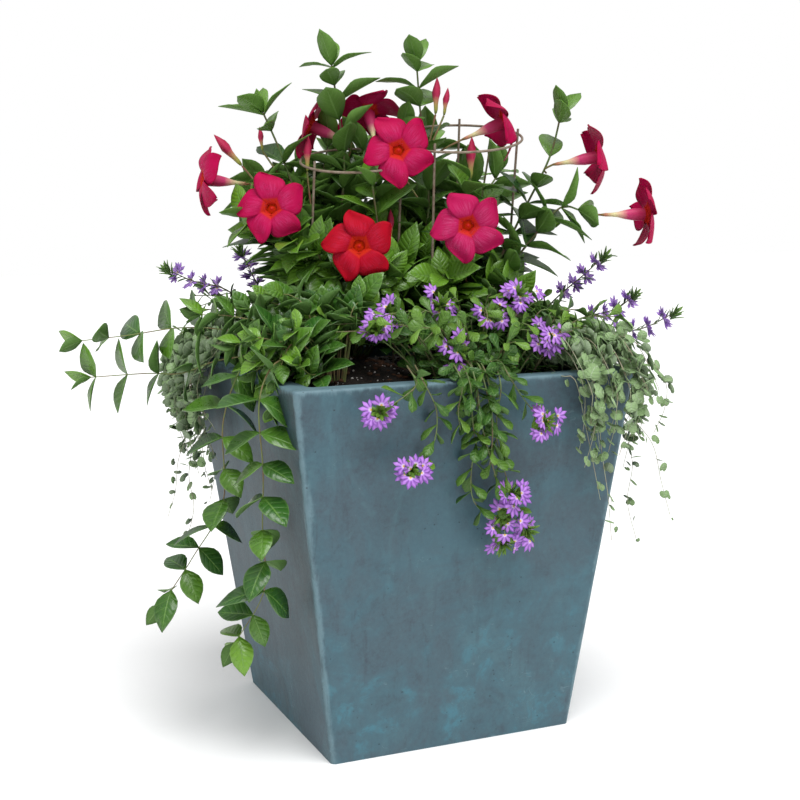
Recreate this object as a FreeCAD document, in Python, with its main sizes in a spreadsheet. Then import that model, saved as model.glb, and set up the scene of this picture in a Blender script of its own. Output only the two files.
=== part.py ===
"""Square tapered planter box with its drainage, potting mix, two plant hoops and eight plants.

Millimetres. Origin at the centre of the flat underside, +Z up, -Y is the front face.
"""
import FreeCAD, Part
import math
import os

import Sketcher
from FreeCAD import Placement, Rotation, Vector

os.makedirs("parts", exist_ok=True)
doc = FreeCAD.newDocument("planter_box")

# ---------------------------------------------------------------- driving dimensions
SIZES = {
    "tall": 508,             # overall height of the planter
    "top_width": 483,        # outside width across the rim
    "base_width": 356,       # outside width at the ground
    "wall": 22,              # wall below the rim band
    "rim_width": 32,         # thicker band round the mouth
    "rim_depth": 50,
    "floor_thick": 25,
    "corner_round": 7,       # slanted corner edges, outside and inside
    "rim_round": 4,
    "drain_radius": 10,
    "drain_offset": 80,      # drain holes sit on a square about the middle
    "screen_radius": 22,
    "screen_thick": 1.5,
    "fill_gap": 0.5,         # slack between the fill and the wall
    "gravel_top": 75,
    "fabric_thick": 2,
    "soil_top": 488,
    "overlap": 1,            # how far cutters and joined solids run past each other
    "hoop_wire": 1.75,       # wire radius of the plant hoops
    "leg_end": 350,          # height of the buried leg ends
    "leg_inset": 8,          # legs go down just inside the root ball's edge
    "leg_bow": 3,            # outward bow of a leg at half its height
    "clip_height": 10,       # how far a leg stands above its ring
    "clip_gap": 0.3,
    "root_depth": 130,
    "root_taper": 0.8,
    "root_gap": 0.3,         # slack between a root ball and its pocket
    "woody_stem": 2.4,
    "soft_stem": 1.4,
    "thread_stem": 0.9,
    "clump": 50,             # unit radius of a mass of leaves
    "leaf_half": 17,         # half length of one leaf of a trail
    "leaf_thick": 3,
    "leaf_width": 0.6,       # width of a leaf as a share of its length
    "leaf_slope": 25,
    "limb_radius": 46,       # open trumpet flower
    "limb_depth": 12,
    "throat_radius": 10,
    "tube_long": 52,
    "tube_radius": 3,
    "bud_radius": 5.5,
    "bud_half": 24,
}
sheet = doc.addObject("Spreadsheet::Sheet", "Sizes")
for row, (alias, value) in enumerate(SIZES.items(), start=1):
    sheet.set("A%d" % row, alias)
    sheet.set("B%d" % row, str(value))
    sheet.setAlias("B%d" % row, alias)
doc.recompute()

pieces = []  # finished sub-parts, in the order in which they are made


def keep(piece, label):
    """Name a finished sub-part and put it on the list of pieces to write."""
    piece.Label = label
    pieces.append(piece)
    return piece


# ---------------------------------------------------------------- square tapered solids
OUTER = "(Sizes.base_width + (Sizes.top_width - Sizes.base_width) * ({z}) / Sizes.tall) / 2"
CAVITY = OUTER + " - Sizes.wall"
MOUTH = OUTER + " - Sizes.rim_width"
BAND = "Sizes.tall - Sizes.rim_depth"  # height where the rim band begins


def origin_plane(body, role):
    return next(f for f in body.Origin.OriginFeatures if f.Role == role)


def square_sketch(body, name, height, half):
    """A round-cornered square about the Z axis at a height, both given as expressions."""
    sketch = body.newObject("Sketcher::SketchObject", name)
    sketch.AttachmentSupport = [(origin_plane(body, "XY_Plane"), "")]
    sketch.MapMode = "FlatFace"
    sketch.setExpression("AttachmentOffset.Base.z", height)
    side, bend = SIZES["base_width"] / 2, SIZES["corner_round"]
    straight = side - bend
    for quarter in range(4):
        turn = Rotation(Vector(0, 0, 1), 90 * quarter)
        start = turn.multVec(Vector(-straight, -side, 0))
        end = turn.multVec(Vector(straight, -side, 0))
        centre = turn.multVec(Vector(straight, -straight, 0))
        circle = Part.Circle(centre, Vector(0, 0, 1), bend)
        begin = math.radians(90 * quarter - 90)
        sketch.addGeometry(Part.LineSegment(start, end), False)
        sketch.addGeometry(Part.ArcOfCircle(circle, begin, begin + math.pi / 2), False)
    for quarter in range(4):
        line, arc, after = 2 * quarter, 2 * quarter + 1, (2 * quarter + 2) % 8
        sketch.addConstraint(Sketcher.Constraint("Tangent", line, 2, arc, 1))
        sketch.addConstraint(Sketcher.Constraint("Tangent", arc, 2, after, 1))
        sketch.addConstraint(Sketcher.Constraint(("Horizontal", "Vertical")[quarter % 2], line))
        if quarter:
            sketch.addConstraint(Sketcher.Constraint("Equal", 1, arc))
    number = sketch.addConstraint(Sketcher.Constraint("Radius", 1, bend))
    sketch.setExpression("Constraints[%d]" % number, "Sizes.corner_round")
    sketch.addConstraint(Sketcher.Constraint("Symmetric", 1, 3, 5, 3, -1, 1))
    for kind, line in (("DistanceX", 2), ("DistanceY", 4)):
        number = sketch.addConstraint(Sketcher.Constraint(kind, -1, 1, line, 1, side))
        sketch.setExpression("Constraints[%d]" % number, half)
    return sketch


def square_loft(body, kind, name, low, high, half):
    """Loft a square between two heights. half is a template that takes the height."""
    below = square_sketch(body, name + "_low", low, half.format(z=low))
    above = square_sketch(body, name + "_high", high, half.format(z=high))
    loft = body.newObject("PartDesign::" + kind, name)
    loft.Profile = (below, [""])
    loft.Sections = [(above, [""])]
    loft.Ruled = True
    doc.recompute()
    return loft


def edges_where(shape, test):
    """Names of the edges whose middle point and direction pass the test."""
    names = []
    for index, edge in enumerate(shape.Edges, start=1):
        middle = edge.valueAt((edge.FirstParameter + edge.LastParameter) / 2)
        along = edge.tangentAt(edge.FirstParameter)
        if test(middle, along):
            names.append("Edge%d" % index)
    return names


def round_edges(body, name, base, radius, test):
    fillet = body.newObject("PartDesign::Fillet", name)
    fillet.Base = (base, edges_where(base.Shape, test))
    fillet.setExpression("Radius", radius)
    doc.recompute()
    return fillet


# ---------------------------------------------------------------- planter shell
def planter_shell():
    """Cast shell: a tapered box with a thick rim band, a floor and four drain holes."""
    body = doc.addObject("PartDesign::Body", "Shell")
    outside = square_loft(body, "AdditiveLoft", "Outside", "0", "Sizes.tall", OUTER)
    full = outside.Shape.Volume
    square_loft(body, "SubtractiveLoft", "Cavity", "Sizes.floor_thick", BAND, CAVITY)
    hollow = square_loft(body, "SubtractiveLoft", "Mouth", BAND + " - Sizes.overlap",
                         "Sizes.tall + Sizes.overlap", MOUTH)
    assert hollow.Shape.Volume < 0.5 * full, "the cavity was not cut"

    top = float(SIZES["tall"])
    rim = round_edges(body, "RimEdges", hollow, "Sizes.rim_round",
                      lambda middle, along: middle.z > top - 0.01 and abs(along.z) < 0.1)

    hole = body.newObject("Sketcher::SketchObject", "DrainCircle")
    hole.AttachmentSupport = [(origin_plane(body, "XY_Plane"), "")]
    hole.MapMode = "FlatFace"
    offset, radius = float(SIZES["drain_offset"]), float(SIZES["drain_radius"])
    hole.addGeometry(Part.Circle(Vector(offset, offset, 0), Vector(0, 0, 1), radius), False)
    for kind in ("DistanceX", "DistanceY"):
        number = hole.addConstraint(Sketcher.Constraint(kind, -1, 1, 0, 3, offset))
        hole.setExpression("Constraints[%d]" % number, "Sizes.drain_offset")
    number = hole.addConstraint(Sketcher.Constraint("Radius", 0, radius))
    hole.setExpression("Constraints[%d]" % number, "Sizes.drain_radius")
    drain = body.newObject("PartDesign::Pocket", "Drain")
    drain.Profile = hole
    drain.Reversed = True
    drain.Type = "Length"
    drain.setExpression("Length", "Sizes.floor_thick + Sizes.overlap")
    doc.recompute()
    plug = math.pi * radius ** 2 * SIZES["floor_thick"]
    assert drain.Shape.Volume < rim.Shape.Volume - 0.9 * plug, "the drain hole was not cut"
    drains = body.newObject("PartDesign::PolarPattern", "Drains")
    drains.Originals = [drain]
    drains.Axis = (origin_plane(body, "Z_Axis"), [""])
    drains.Angle = 360
    drains.Occurrences = 4
    body.Tip = drains
    doc.recompute()
    return keep(body, "planter_shell")


# ---------------------------------------------------------------- drainage and fill
def group(label, members):
    """One node made of several separate solids."""
    compound = doc.addObject("Part::Compound", "Group")
    compound.Links = members
    doc.recompute()
    return keep(compound, label)


def drain_screens():
    """Four round woven-mesh discs that keep the gravel out of the drain holes."""
    discs = []
    for side_x in (-1, 1):
        for side_y in (-1, 1):
            disc = doc.addObject("Part::Cylinder", "Screen")
            disc.setExpression("Radius", "Sizes.screen_radius")
            disc.setExpression("Height", "Sizes.screen_thick")
            disc.setExpression("Placement.Base.x", "%d * Sizes.drain_offset" % side_x)
            disc.setExpression("Placement.Base.y", "%d * Sizes.drain_offset" % side_y)
            disc.setExpression("Placement.Base.z", "Sizes.floor_thick")
            discs.append(disc)
    return group("drain_screens", discs)


def drainage_layers():
    """Coarse gravel over the screens, and the fabric that keeps the soil out of it."""
    gravel = doc.addObject("PartDesign::Body", "Gravel")
    snug = CAVITY + " - Sizes.fill_gap"
    square_loft(gravel, "AdditiveLoft", "GravelBed",
                "Sizes.floor_thick + Sizes.screen_thick", "Sizes.gravel_top", snug)
    keep(gravel, "drainage_gravel")
    fabric = doc.addObject("PartDesign::Body", "Fabric")
    square_loft(fabric, "AdditiveLoft", "FabricSheet",
                "Sizes.gravel_top", "Sizes.gravel_top + Sizes.fabric_thick", snug)
    keep(fabric, "filter_fabric")


# Each plant's root ball: middle (x, y) at the soil surface and radius there.
ROOTS = {
    "mandevilla_left": (-75, 40, 75),
    "mandevilla_right": (80, 20, 75),
    "vinca": (-148, -135, 45),
    "scaevola_front": (50, -150, 45),
    "scaevola_left": (-60, 160, 38),
    "scaevola_right": (110, 152, 40),
    "dichondra_left": (-160, 150, 38),
    "dichondra_right": (168, -58, 36),
}


def root_cone(across, along, radius, slack):
    """A root ball as it left its pot: wide at the top, narrower below, enlarged by a slack."""
    ball = doc.addObject("Part::Cone", "RootBall")
    ball.setExpression("Radius1", "%g * Sizes.root_taper + %s" % (radius, slack))
    ball.setExpression("Radius2", "%g + %s" % (radius, slack))
    ball.setExpression("Height", "Sizes.root_depth + " + slack)
    ball.Placement = Placement(Vector(across, along, 0), Rotation())
    ball.setExpression("Placement.Base.z", "Sizes.soil_top - Sizes.root_depth - " + slack)
    return ball


def potting_mix():
    """The soil fill, with a pocket for each root ball."""
    fill = doc.addObject("PartDesign::Body", "Fill")
    square_loft(fill, "AdditiveLoft", "DeepFill", "Sizes.gravel_top + Sizes.fabric_thick",
                BAND + " - Sizes.overlap - Sizes.fill_gap", CAVITY + " - Sizes.fill_gap")
    square_loft(fill, "AdditiveLoft", "TopFill", BAND + " - 2 * Sizes.overlap", "Sizes.soil_top",
                MOUTH + " - Sizes.fill_gap")
    pockets = doc.addObject("Part::Compound", "Pockets")
    pockets.Links = [root_cone(*place, "Sizes.root_gap") for place in ROOTS.values()]
    mix = doc.addObject("Part::Cut", "Mix")
    mix.Base = fill
    mix.Tool = pockets
    doc.recompute()
    keep(mix, "potting_mix")
    for plant, place in ROOTS.items():
        keep(root_cone(*place, "0"), plant + "_roots")


# ---------------------------------------------------------------- tubes along a route
BEND_SHARE = 0.45  # share of the shorter neighbouring run that a bend takes up


def tube(points, radius):
    """A round tube along straight runs joined by tangent arcs."""
    points = [Vector(*point) for point in points]
    edges = []
    start = points[0]
    for before, corner, after in zip(points, points[1:], points[2:]):
        back = (before - corner).normalize()
        ahead = (after - corner).normalize()
        half_turn = (math.pi - back.getAngle(ahead)) / 2
        reach = BEND_SHARE * min((corner - before).Length, (after - corner).Length)
        bend = reach / math.tan(half_turn)
        enter = corner + back * reach
        leave = corner + ahead * reach
        inward = (back + ahead).normalize()
        middle = corner + inward * (math.hypot(bend, reach) - bend)
        edges.append(Part.LineSegment(start, enter).toShape())
        edges.append(Part.Arc(enter, middle, leave).toShape())
        start = leave
    edges.append(Part.LineSegment(start, points[-1]).toShape())
    path = Part.Wire(edges)
    ring = Part.Wire(Part.makeCircle(radius, points[0], (points[1] - points[0])))
    solid = path.makePipeShell([ring], True, False)
    wanted = math.pi * radius ** 2 * path.Length
    assert abs(solid.Volume - wanted) < 0.02 * wanted, "a tube has the wrong volume"
    return solid


def tubes(label, routes, size):
    """One node of separate tubes whose radius is a cell of the sheet."""
    node = doc.addObject("Part::Feature", "Tubes")
    radius = float(sheet.get(size))
    node.Shape = Part.makeCompound([tube(route, radius) for route in routes])
    return keep(node, label)


# ---------------------------------------------------------------- plant hoops
# Ring middle (x, y, z), ring radius, and where round the ring each leg is clipped on.
HOOPS = {
    "left": ((-60, 15, 790), 74, (200, 320, 80)),
    "right": ((85, -15, 820), 92, (345, 225, 62)),
}
HOOP_LEAN = Rotation(Vector(0.92, -0.39, 0), 14)  # rings lean a little to the front


def plant_hoops():
    """A wire ring on three legs for each of the two climbing plants."""
    wire, inset, bow = SIZES["hoop_wire"], SIZES["leg_inset"], SIZES["leg_bow"]
    clear = 2 * wire + SIZES["clip_gap"]
    for side, (middle, radius, clips) in HOOPS.items():
        ring = doc.addObject("Part::Torus", "Ring")
        ring.Radius1 = radius
        ring.setExpression("Radius2", "Sizes.hoop_wire")
        ring.Placement = Placement(Vector(*middle), HOOP_LEAN)
        doc.recompute()
        keep(ring, "hoop_%s_ring" % side)
        root_x, root_y, root_radius = ROOTS["mandevilla_" + side]
        routes = []
        for clip in clips:
            out = Vector(math.cos(math.radians(clip)), math.sin(math.radians(clip)), 0)
            top = Vector(*middle) + HOOP_LEAN.multVec(out * (radius - clear))
            foot = Vector(root_x, root_y, SIZES["leg_end"]) + out * (root_radius - inset)
            knee = (top + foot) / 2 + out * bow
            routes.append([top + Vector(0, 0, SIZES["clip_height"]), knee, foot])
        tubes("hoop_%s_legs" % side, routes, "hoop_wire")


# ---------------------------------------------------------------- leaf masses
def clumps(label, rows):
    """Masses of leaves. Each row: middle x, y, z, then half width, depth, height in clumps."""
    members = []
    for middle_x, middle_y, middle_z, wide, deep, high in rows:
        mass = doc.addObject("Part::Ellipsoid", "Mass")
        mass.setExpression("Radius1", "Sizes.clump * %g" % high)
        mass.setExpression("Radius2", "Sizes.clump * %g" % wide)
        mass.setExpression("Radius3", "Sizes.clump * %g" % deep)
        mass.Placement = Placement(Vector(middle_x, middle_y, middle_z), Rotation())
        members.append(mass)
    return group(label, members)


def leaves(label, places):
    """Single leaves of a trail, lying nearly flat. Each place: x, y, z, heading."""
    members = []
    for across, along, up, heading in places:
        leaf = doc.addObject("Part::Ellipsoid", "Leaf")
        leaf.setExpression("Radius1", "Sizes.leaf_thick")
        leaf.setExpression("Radius2", "Sizes.leaf_half")
        leaf.setExpression("Radius3", "Sizes.leaf_half * Sizes.leaf_width")
        turn = Rotation(Vector(0, 0, 1), heading) * Rotation(Vector(0, 1, 0), SIZES["leaf_slope"])
        leaf.Placement = Placement(Vector(across, along, up), turn)
        members.append(leaf)
    return group(label, members)


# ---------------------------------------------------------------- mandevillas
MANDEVILLA_STEMS = {
    "left": [
        [(-75, 45, 488), (-62, 38, 580), (-70, 40, 695), (-62, 46, 790), (-70, 52, 875), (-75, 55, 922)],
        [(-95, 55, 488), (-100, 42, 570), (-92, 45, 640), (-125, 65, 735), (-145, 82, 805), (-166, 90, 858)],
        [(-82, 20, 488), (-100, 5, 560), (-120, 15, 640), (-148, 48, 712), (-182, 78, 752)],
        [(-60, 70, 488), (-45, 95, 580), (-70, 92, 680), (-72, 105, 770), (-60, 118, 812)],
    ],
    "right": [
        [(80, 20, 488), (62, 5, 570), (45, 12, 650), (52, 10, 735), (48, 25, 845), (42, 26, 925)],
        [(98, 10, 488), (112, -22, 560), (125, -50, 630), (160, -66, 710), (195, -84, 790), (210, -90, 850)],
        [(95, -5, 488), (90, -40, 550), (118, -66, 612), (160, -92, 675), (200, -108, 722), (232, -128, 714)],
        [(70, 50, 488), (58, 80, 580), (85, 100, 670), (78, 112, 760), (98, 118, 815)],
    ],
}
MANDEVILLA_FOLIAGE = {
    "left": [
        (-115, 40, 615, 1.2, 1.0, 1.4), (-40, 60, 640, 0.9, 1.0, 1.3), (-150, 70, 720, 0.9, 0.9, 1.0),
        (-72, 48, 770, 0.8, 0.8, 1.1), (-75, 55, 885, 0.8, 0.8, 1.0), (-158, 88, 830, 0.9, 0.8, 0.9),
        (-65, 130, 700, 1.1, 0.9, 1.5),
    ],
    "right": [
        (55, 10, 640, 1.1, 1.0, 1.5), (130, -40, 640, 1.1, 1.0, 1.3), (48, 15, 760, 0.8, 0.8, 0.9),
        (44, 28, 875, 1.1, 0.9, 1.3), (178, -75, 750, 1.0, 0.9, 1.0), (210, -90, 840, 0.9, 0.9, 0.8),
        (75, 120, 700, 1.2, 1.0, 1.6), (165, 30, 620, 0.9, 1.1, 1.0),
    ],
}
# Open flowers: middle of the open limb, then the way that it faces.
MANDEVILLA_FLOWERS = [
    ((-252, 106, 766), (-0.93, 0.10, 0.10)),
    ((-188, -2, 726), (-0.55, -0.80, 0.15)),
    ((-94, -88, 675), (-0.35, -0.92, 0.05)),
    ((-24, -62, 802), (-0.28, -0.92, 0.12)),
    ((42, -140, 700), (-0.35, -0.92, -0.08)),
    ((-90, 112, 842), (-0.70, 0.45, 0.35)),
    ((-12, 78, 862), (0.10, 0.60, 0.70)),
    ((150, -38, 843), (0.85, -0.20, 0.35)),
    ((258, -116, 792), (0.90, -0.30, 0.15)),
    ((306, -165, 712), (0.95, -0.25, 0.00)),
]
# Buds: the middle of each, then the way that its tip points.
MANDEVILLA_BUDS = [
    ((-218, 92, 806), (-0.65, 0.10, 0.75)),
    ((-170, 90, 822), (-0.10, 0.00, 1.00)),
    ((-118, 42, 800), (0.05, 0.00, 1.00)),
    ((66, 12, 880), (0.05, -0.02, 1.00)),
    ((80, 10, 872), (0.15, -0.05, 1.00)),
    ((100, -30, 792), (0.02, -0.05, 1.00)),
    ((-20, -20, 700), (0.00, -0.05, 1.00)),
]


def facing(place, direction):
    """Placement that turns +Z to the direction given."""
    return Placement(Vector(*place), Rotation(Vector(0, 0, 1), Vector(*direction)))


def trumpet_flower(label, place, direction):
    """An open trumpet flower: slender tube, widening throat and wide shallow limb."""
    tube_part = doc.addObject("Part::Cone", "FlowerTube")
    tube_part.setExpression("Radius1", "Sizes.tube_radius")
    tube_part.setExpression("Radius2", "Sizes.throat_radius")
    tube_part.setExpression("Height", "Sizes.tube_long")
    tube_part.setExpression("Placement.Base.z", "-Sizes.tube_long")
    limb = doc.addObject("Part::Cone", "FlowerLimb")
    limb.setExpression("Radius1", "Sizes.throat_radius")
    limb.setExpression("Radius2", "Sizes.limb_radius")
    limb.setExpression("Height", "Sizes.limb_depth")
    flower = doc.addObject("Part::Fuse", "Flower")
    flower.Base = tube_part
    flower.Tool = limb
    flower.Placement = facing(place, direction)
    doc.recompute()
    return keep(flower, label)


def mandevillas():
    for side, routes in MANDEVILLA_STEMS.items():
        tubes("mandevilla_%s_stems" % side, routes, "woody_stem")
        clumps("mandevilla_%s_foliage" % side, MANDEVILLA_FOLIAGE[side])
    for number, (place, direction) in enumerate(MANDEVILLA_FLOWERS, start=1):
        trumpet_flower("mandevilla_flower_%d" % number, place, direction)
    buds = []
    for place, direction in MANDEVILLA_BUDS:
        bud = doc.addObject("Part::Ellipsoid", "Bud")
        bud.setExpression("Radius1", "Sizes.bud_half")
        bud.setExpression("Radius2", "Sizes.bud_radius")
        bud.setExpression("Radius3", "Sizes.bud_radius")
        bud.Placement = facing(place, direction)
        buds.append(bud)
    group("mandevilla_buds", buds)


# ---------------------------------------------------------------- vinca
VINCA_TRAILS = [
    [(-190, -60, 545), (-250, 10, 562), (-310, 35, 566), (-375, 50, 558), (-436, 66, 552)],
    [(-200, -40, 535), (-262, 20, 520), (-310, 32, 504), (-355, 38, 506), (-428, 56, 503)],
    [(-185, -120, 530), (-240, -168, 535), (-268, -186, 490), (-262, -176, 400), (-266, -180, 325),
     (-262, -168, 245), (-288, -120, 165)],
    [(-195, -80, 530), (-250, -90, 535), (-284, -80, 455), (-286, -74, 345), (-318, -30, 262),
     (-352, 20, 186)],
]
VINCA_CROWN = [
    (-175, -110, 550, 1.5, 1.3, 0.9), (-235, -30, 545, 1.2, 1.5, 0.9), (-120, -165, 545, 1.2, 1.0, 0.8),
    (-235, 75, 560, 1.0, 1.3, 0.9), (-262, -60, 455, 0.5, 1.4, 1.3),
]
VINCA_LEAVES = [
    (-436, 66, 560, 0), (-452, 70, 556, 160), (-390, 50, 580, 60), (-376, 60, 540, 240),
    (-428, 56, 496, 180), (-372, 40, 520, 20), (-350, 38, 575, 90),
    (-268, -212, 412, 270), (-268, -130, 400, 90), (-266, -150, 340, 120), (-268, -205, 320, 250),
    (-262, -205, 262, 270), (-268, -120, 250, 90), (-290, -95, 172, 60), (-284, -140, 160, 240),
    (-322, -40, 262, 200), (-340, -10, 240, 20), (-356, 40, 184, 120), (-362, 10, 178, 200),
]


def vinca():
    tubes("vinca_trails", VINCA_TRAILS, "soft_stem")
    clumps("vinca_crown", VINCA_CROWN)
    leaves("vinca_trail_leaves", VINCA_LEAVES)


# ---------------------------------------------------------------- scaevola
SCAEVOLA_CROWNS = {
    "scaevola_front_crown": [
        (40, -175, 560, 1.6, 1.1, 0.9), (-55, -200, 560, 1.1, 0.9, 0.8), (130, -165, 575, 1.1, 1.0, 0.9),
        (-68, -256, 470, 0.5, 0.4, 1.3), (12, -262, 440, 0.9, 0.5, 2.2),
    ],
    "scaevola_left_crown": [
        (-90, 190, 570, 1.4, 1.1, 1.2), (0, 200, 560, 1.2, 1.0, 1.1), (-180, 175, 600, 1.1, 0.9, 1.1),
    ],
    "scaevola_right_crown": [
        (120, 180, 570, 1.5, 1.1, 1.2), (215, 110, 570, 1.1, 1.4, 1.2),
    ],
}
SCAEVOLA_SPRIGS = {
    "scaevola_left_sprigs": [
        [(-150, 175, 560), (-200, 180, 605), (-250, 184, 620), (-290, 188, 640)],
        [(-130, 170, 560), (-160, 168, 620), (-184, 166, 668)],
    ],
    "scaevola_right_sprigs": [
        [(190, -20, 540), (225, -50, 590), (255, -78, 625), (282, -96, 655)],
        [(200, -60, 540), (245, -92, 565), (285, -118, 578), (312, -132, 602)],
        [(200, -90, 535), (260, -125, 545), (310, -150, 552), (352, -172, 576)],
    ],
}
# Clusters of fan flowers: the middle of each and its size in clumps.
SCAEVOLA_CLUSTERS = [
    (-140, -285, 480, 0.6), (-100, -285, 405, 0.6), (75, -295, 460, 0.7), (35, -290, 360, 0.6),
    (22, -284, 302, 0.4), (-110, -215, 590, 0.7), (-15, -215, 592, 0.7), (95, -205, 590, 0.8),
    (130, -165, 625, 0.6), (-285, 186, 645, 0.5), (-182, 166, 672, 0.4), (282, -96, 660, 0.5),
    (312, -132, 605, 0.5), (350, -172, 580, 0.4), (60, 215, 640, 0.6), (-70, 225, 630, 0.6),
    (245, 120, 630, 0.6), (150, 235, 600, 0.6),
]

CLUSTER_DEPTH = 0.7  # depth of a cluster as a share of its width


def scaevola():
    for label, rows in SCAEVOLA_CROWNS.items():
        clumps(label, rows)
    for label, routes in SCAEVOLA_SPRIGS.items():
        tubes(label, routes, "soft_stem")
    rows = [(*middle, size, size * CLUSTER_DEPTH, size) for *middle, size in SCAEVOLA_CLUSTERS]
    clumps("scaevola_flowers", rows)


# ---------------------------------------------------------------- dichondra
DICHONDRA_CROWNS = {
    "dichondra_right_crown": [
        (225, -85, 545, 1.3, 1.5, 0.9), (285, -95, 480, 0.9, 1.4, 1.5), (285, -40, 420, 0.7, 1.4, 1.6),
        (290, -140, 400, 0.6, 0.9, 1.3),
    ],
    "dichondra_left_crown": [
        (-240, 180, 545, 1.1, 1.3, 0.9), (-268, 170, 455, 0.6, 1.4, 1.6), (-200, 262, 480, 1.3, 0.6, 1.4),
    ],
}
DICHONDRA_STRANDS = {
    "dichondra_right_strands": [
        [(280, -100, 430), (292, -96, 380), (286, -100, 330), (298, -92, 290)],
        [(285, -130, 420), (302, -140, 360), (300, -132, 300), (310, -140, 246)],
        [(290, -150, 430), (312, -176, 390), (318, -190, 340), (330, -196, 290)],
        [(280, -30, 380), (290, -20, 320), (280, -14, 270), (288, -6, 220)],
    ],
    "dichondra_left_strands": [
        [(-262, 190, 400), (-276, 204, 350), (-280, 210, 305), (-290, 222, 262)],
        [(-262, 150, 400), (-275, 146, 340), (-268, 150, 290), (-278, 158, 240)],
        [(-200, 270, 420), (-206, 282, 360), (-198, 286, 310), (-206, 292, 262)],
    ],
}


def dichondra():
    for label, rows in DICHONDRA_CROWNS.items():
        clumps(label, rows)
    for label, routes in DICHONDRA_STRANDS.items():
        tubes(label, routes, "thread_stem")


# ---------------------------------------------------------------- make and write
planter_shell()
drain_screens()
drainage_layers()
potting_mix()
plant_hoops()
mandevillas()
vinca()
scaevola()
dichondra()
doc.recompute()

for thing in doc.Objects:
    broken = [word for word in ("Invalid", "Error") if word in thing.State]
    assert not broken, "%s is %s" % (thing.Label, broken)
for piece in pieces:
    assert not piece.Shape.isNull() and piece.Shape.isValid(), piece.Label
for piece in pieces:
    piece.Shape.exportStep("parts/%s.step" % piece.Label)
    print("%-28s %8.1f cm3" % (piece.Label, piece.Shape.Volume / 1000))
print(len(pieces), "pieces")
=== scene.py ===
import math
import random

import bmesh
import bpy
from mathutils import Matrix, Quaternion, Vector, noise


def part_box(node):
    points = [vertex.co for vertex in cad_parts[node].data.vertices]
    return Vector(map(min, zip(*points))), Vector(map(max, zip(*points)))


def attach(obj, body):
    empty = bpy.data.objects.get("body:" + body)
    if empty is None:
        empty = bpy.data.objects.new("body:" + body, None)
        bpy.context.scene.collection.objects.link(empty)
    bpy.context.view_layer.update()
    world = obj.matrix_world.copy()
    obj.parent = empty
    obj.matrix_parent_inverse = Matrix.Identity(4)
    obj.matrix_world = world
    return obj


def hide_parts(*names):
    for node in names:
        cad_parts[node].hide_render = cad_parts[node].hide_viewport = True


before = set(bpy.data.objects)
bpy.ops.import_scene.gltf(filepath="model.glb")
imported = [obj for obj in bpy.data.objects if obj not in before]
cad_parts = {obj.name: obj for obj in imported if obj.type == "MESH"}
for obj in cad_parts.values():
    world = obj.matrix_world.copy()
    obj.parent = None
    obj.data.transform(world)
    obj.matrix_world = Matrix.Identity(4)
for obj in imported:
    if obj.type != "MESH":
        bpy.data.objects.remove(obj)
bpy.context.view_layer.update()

bl_info = {
    "name": "Planted tapered planter box",
    "version": (1, 0, 0),
    "blender": (4, 5, 0),
    "location": "View3D > Sidebar > Planter",
    "description": "Dresses the planter's frame with soil, wire hoops and flowering plants",
    "category": "Object",
}

# ---------------------------------------------------------------- places taken from the frame
SHELL_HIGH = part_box("planter_shell")[1]
SOIL_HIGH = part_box("potting_mix")[1]
RIM_Z = SHELL_HIGH.z
RIM_HALF = SHELL_HIGH.x
SOIL_Z = SOIL_HIGH.z
FOOT_HALF = max(v.co.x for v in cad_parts["planter_shell"].data.vertices if v.co.z < 0.001)
RIM_WIDTH = 0.032
MOUTH_HALF = RIM_HALF - RIM_WIDTH
MM = 0.001

UP = Vector((0, 0, 1))
# Turned by this angle each time, or moved by this share, things spread evenly and never line up.
GOLDEN_TURN = 2.4
GOLDEN_SHARE = 0.618


def middle(node):
    """The middle of a frame node's box."""
    low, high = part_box(node)
    return (low + high) / 2


def soil_spot(node):
    """Where a plant comes out of the soil, above the middle of its root ball."""
    spot = middle(node)
    spot.z = SOIL_Z
    return spot


# ---------------------------------------------------------------- shader maths
class Signal:
    """A number or colour on its way between shader nodes. Arithmetic on it adds Math nodes."""

    def __init__(self, shader, socket):
        self.shader = shader
        self.socket = socket

    def math(self, operation, *others):
        node = self.shader.tree.nodes.new("ShaderNodeMath")
        node.operation = operation
        for slot, value in enumerate((self, *others)):
            self.shader.plug(node.inputs[slot], value)
        return Signal(self.shader, node.outputs[0])

    def __add__(self, other):
        return self.math("ADD", other)

    __radd__ = __add__

    def __sub__(self, other):
        return self.math("SUBTRACT", other)

    def __rsub__(self, other):
        return self.math("MULTIPLY", -1).math("ADD", other)

    def __mul__(self, other):
        return self.math("MULTIPLY", other)

    __rmul__ = __mul__

    def __abs__(self):
        return self.math("ABSOLUTE")

    def fraction(self):
        return self.math("FRACT")

    def step(self, low, high):
        """0 below low, 1 above high and a soft rise between; high may be the lower one."""
        settings = {"interpolation_type": "SMOOTHSTEP"}
        values = {"Value": self, "From Min": min(low, high), "From Max": max(low, high)}
        rising = self.shader.add("MapRange", settings, values)
        return rising if low < high else 1 - rising


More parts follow.
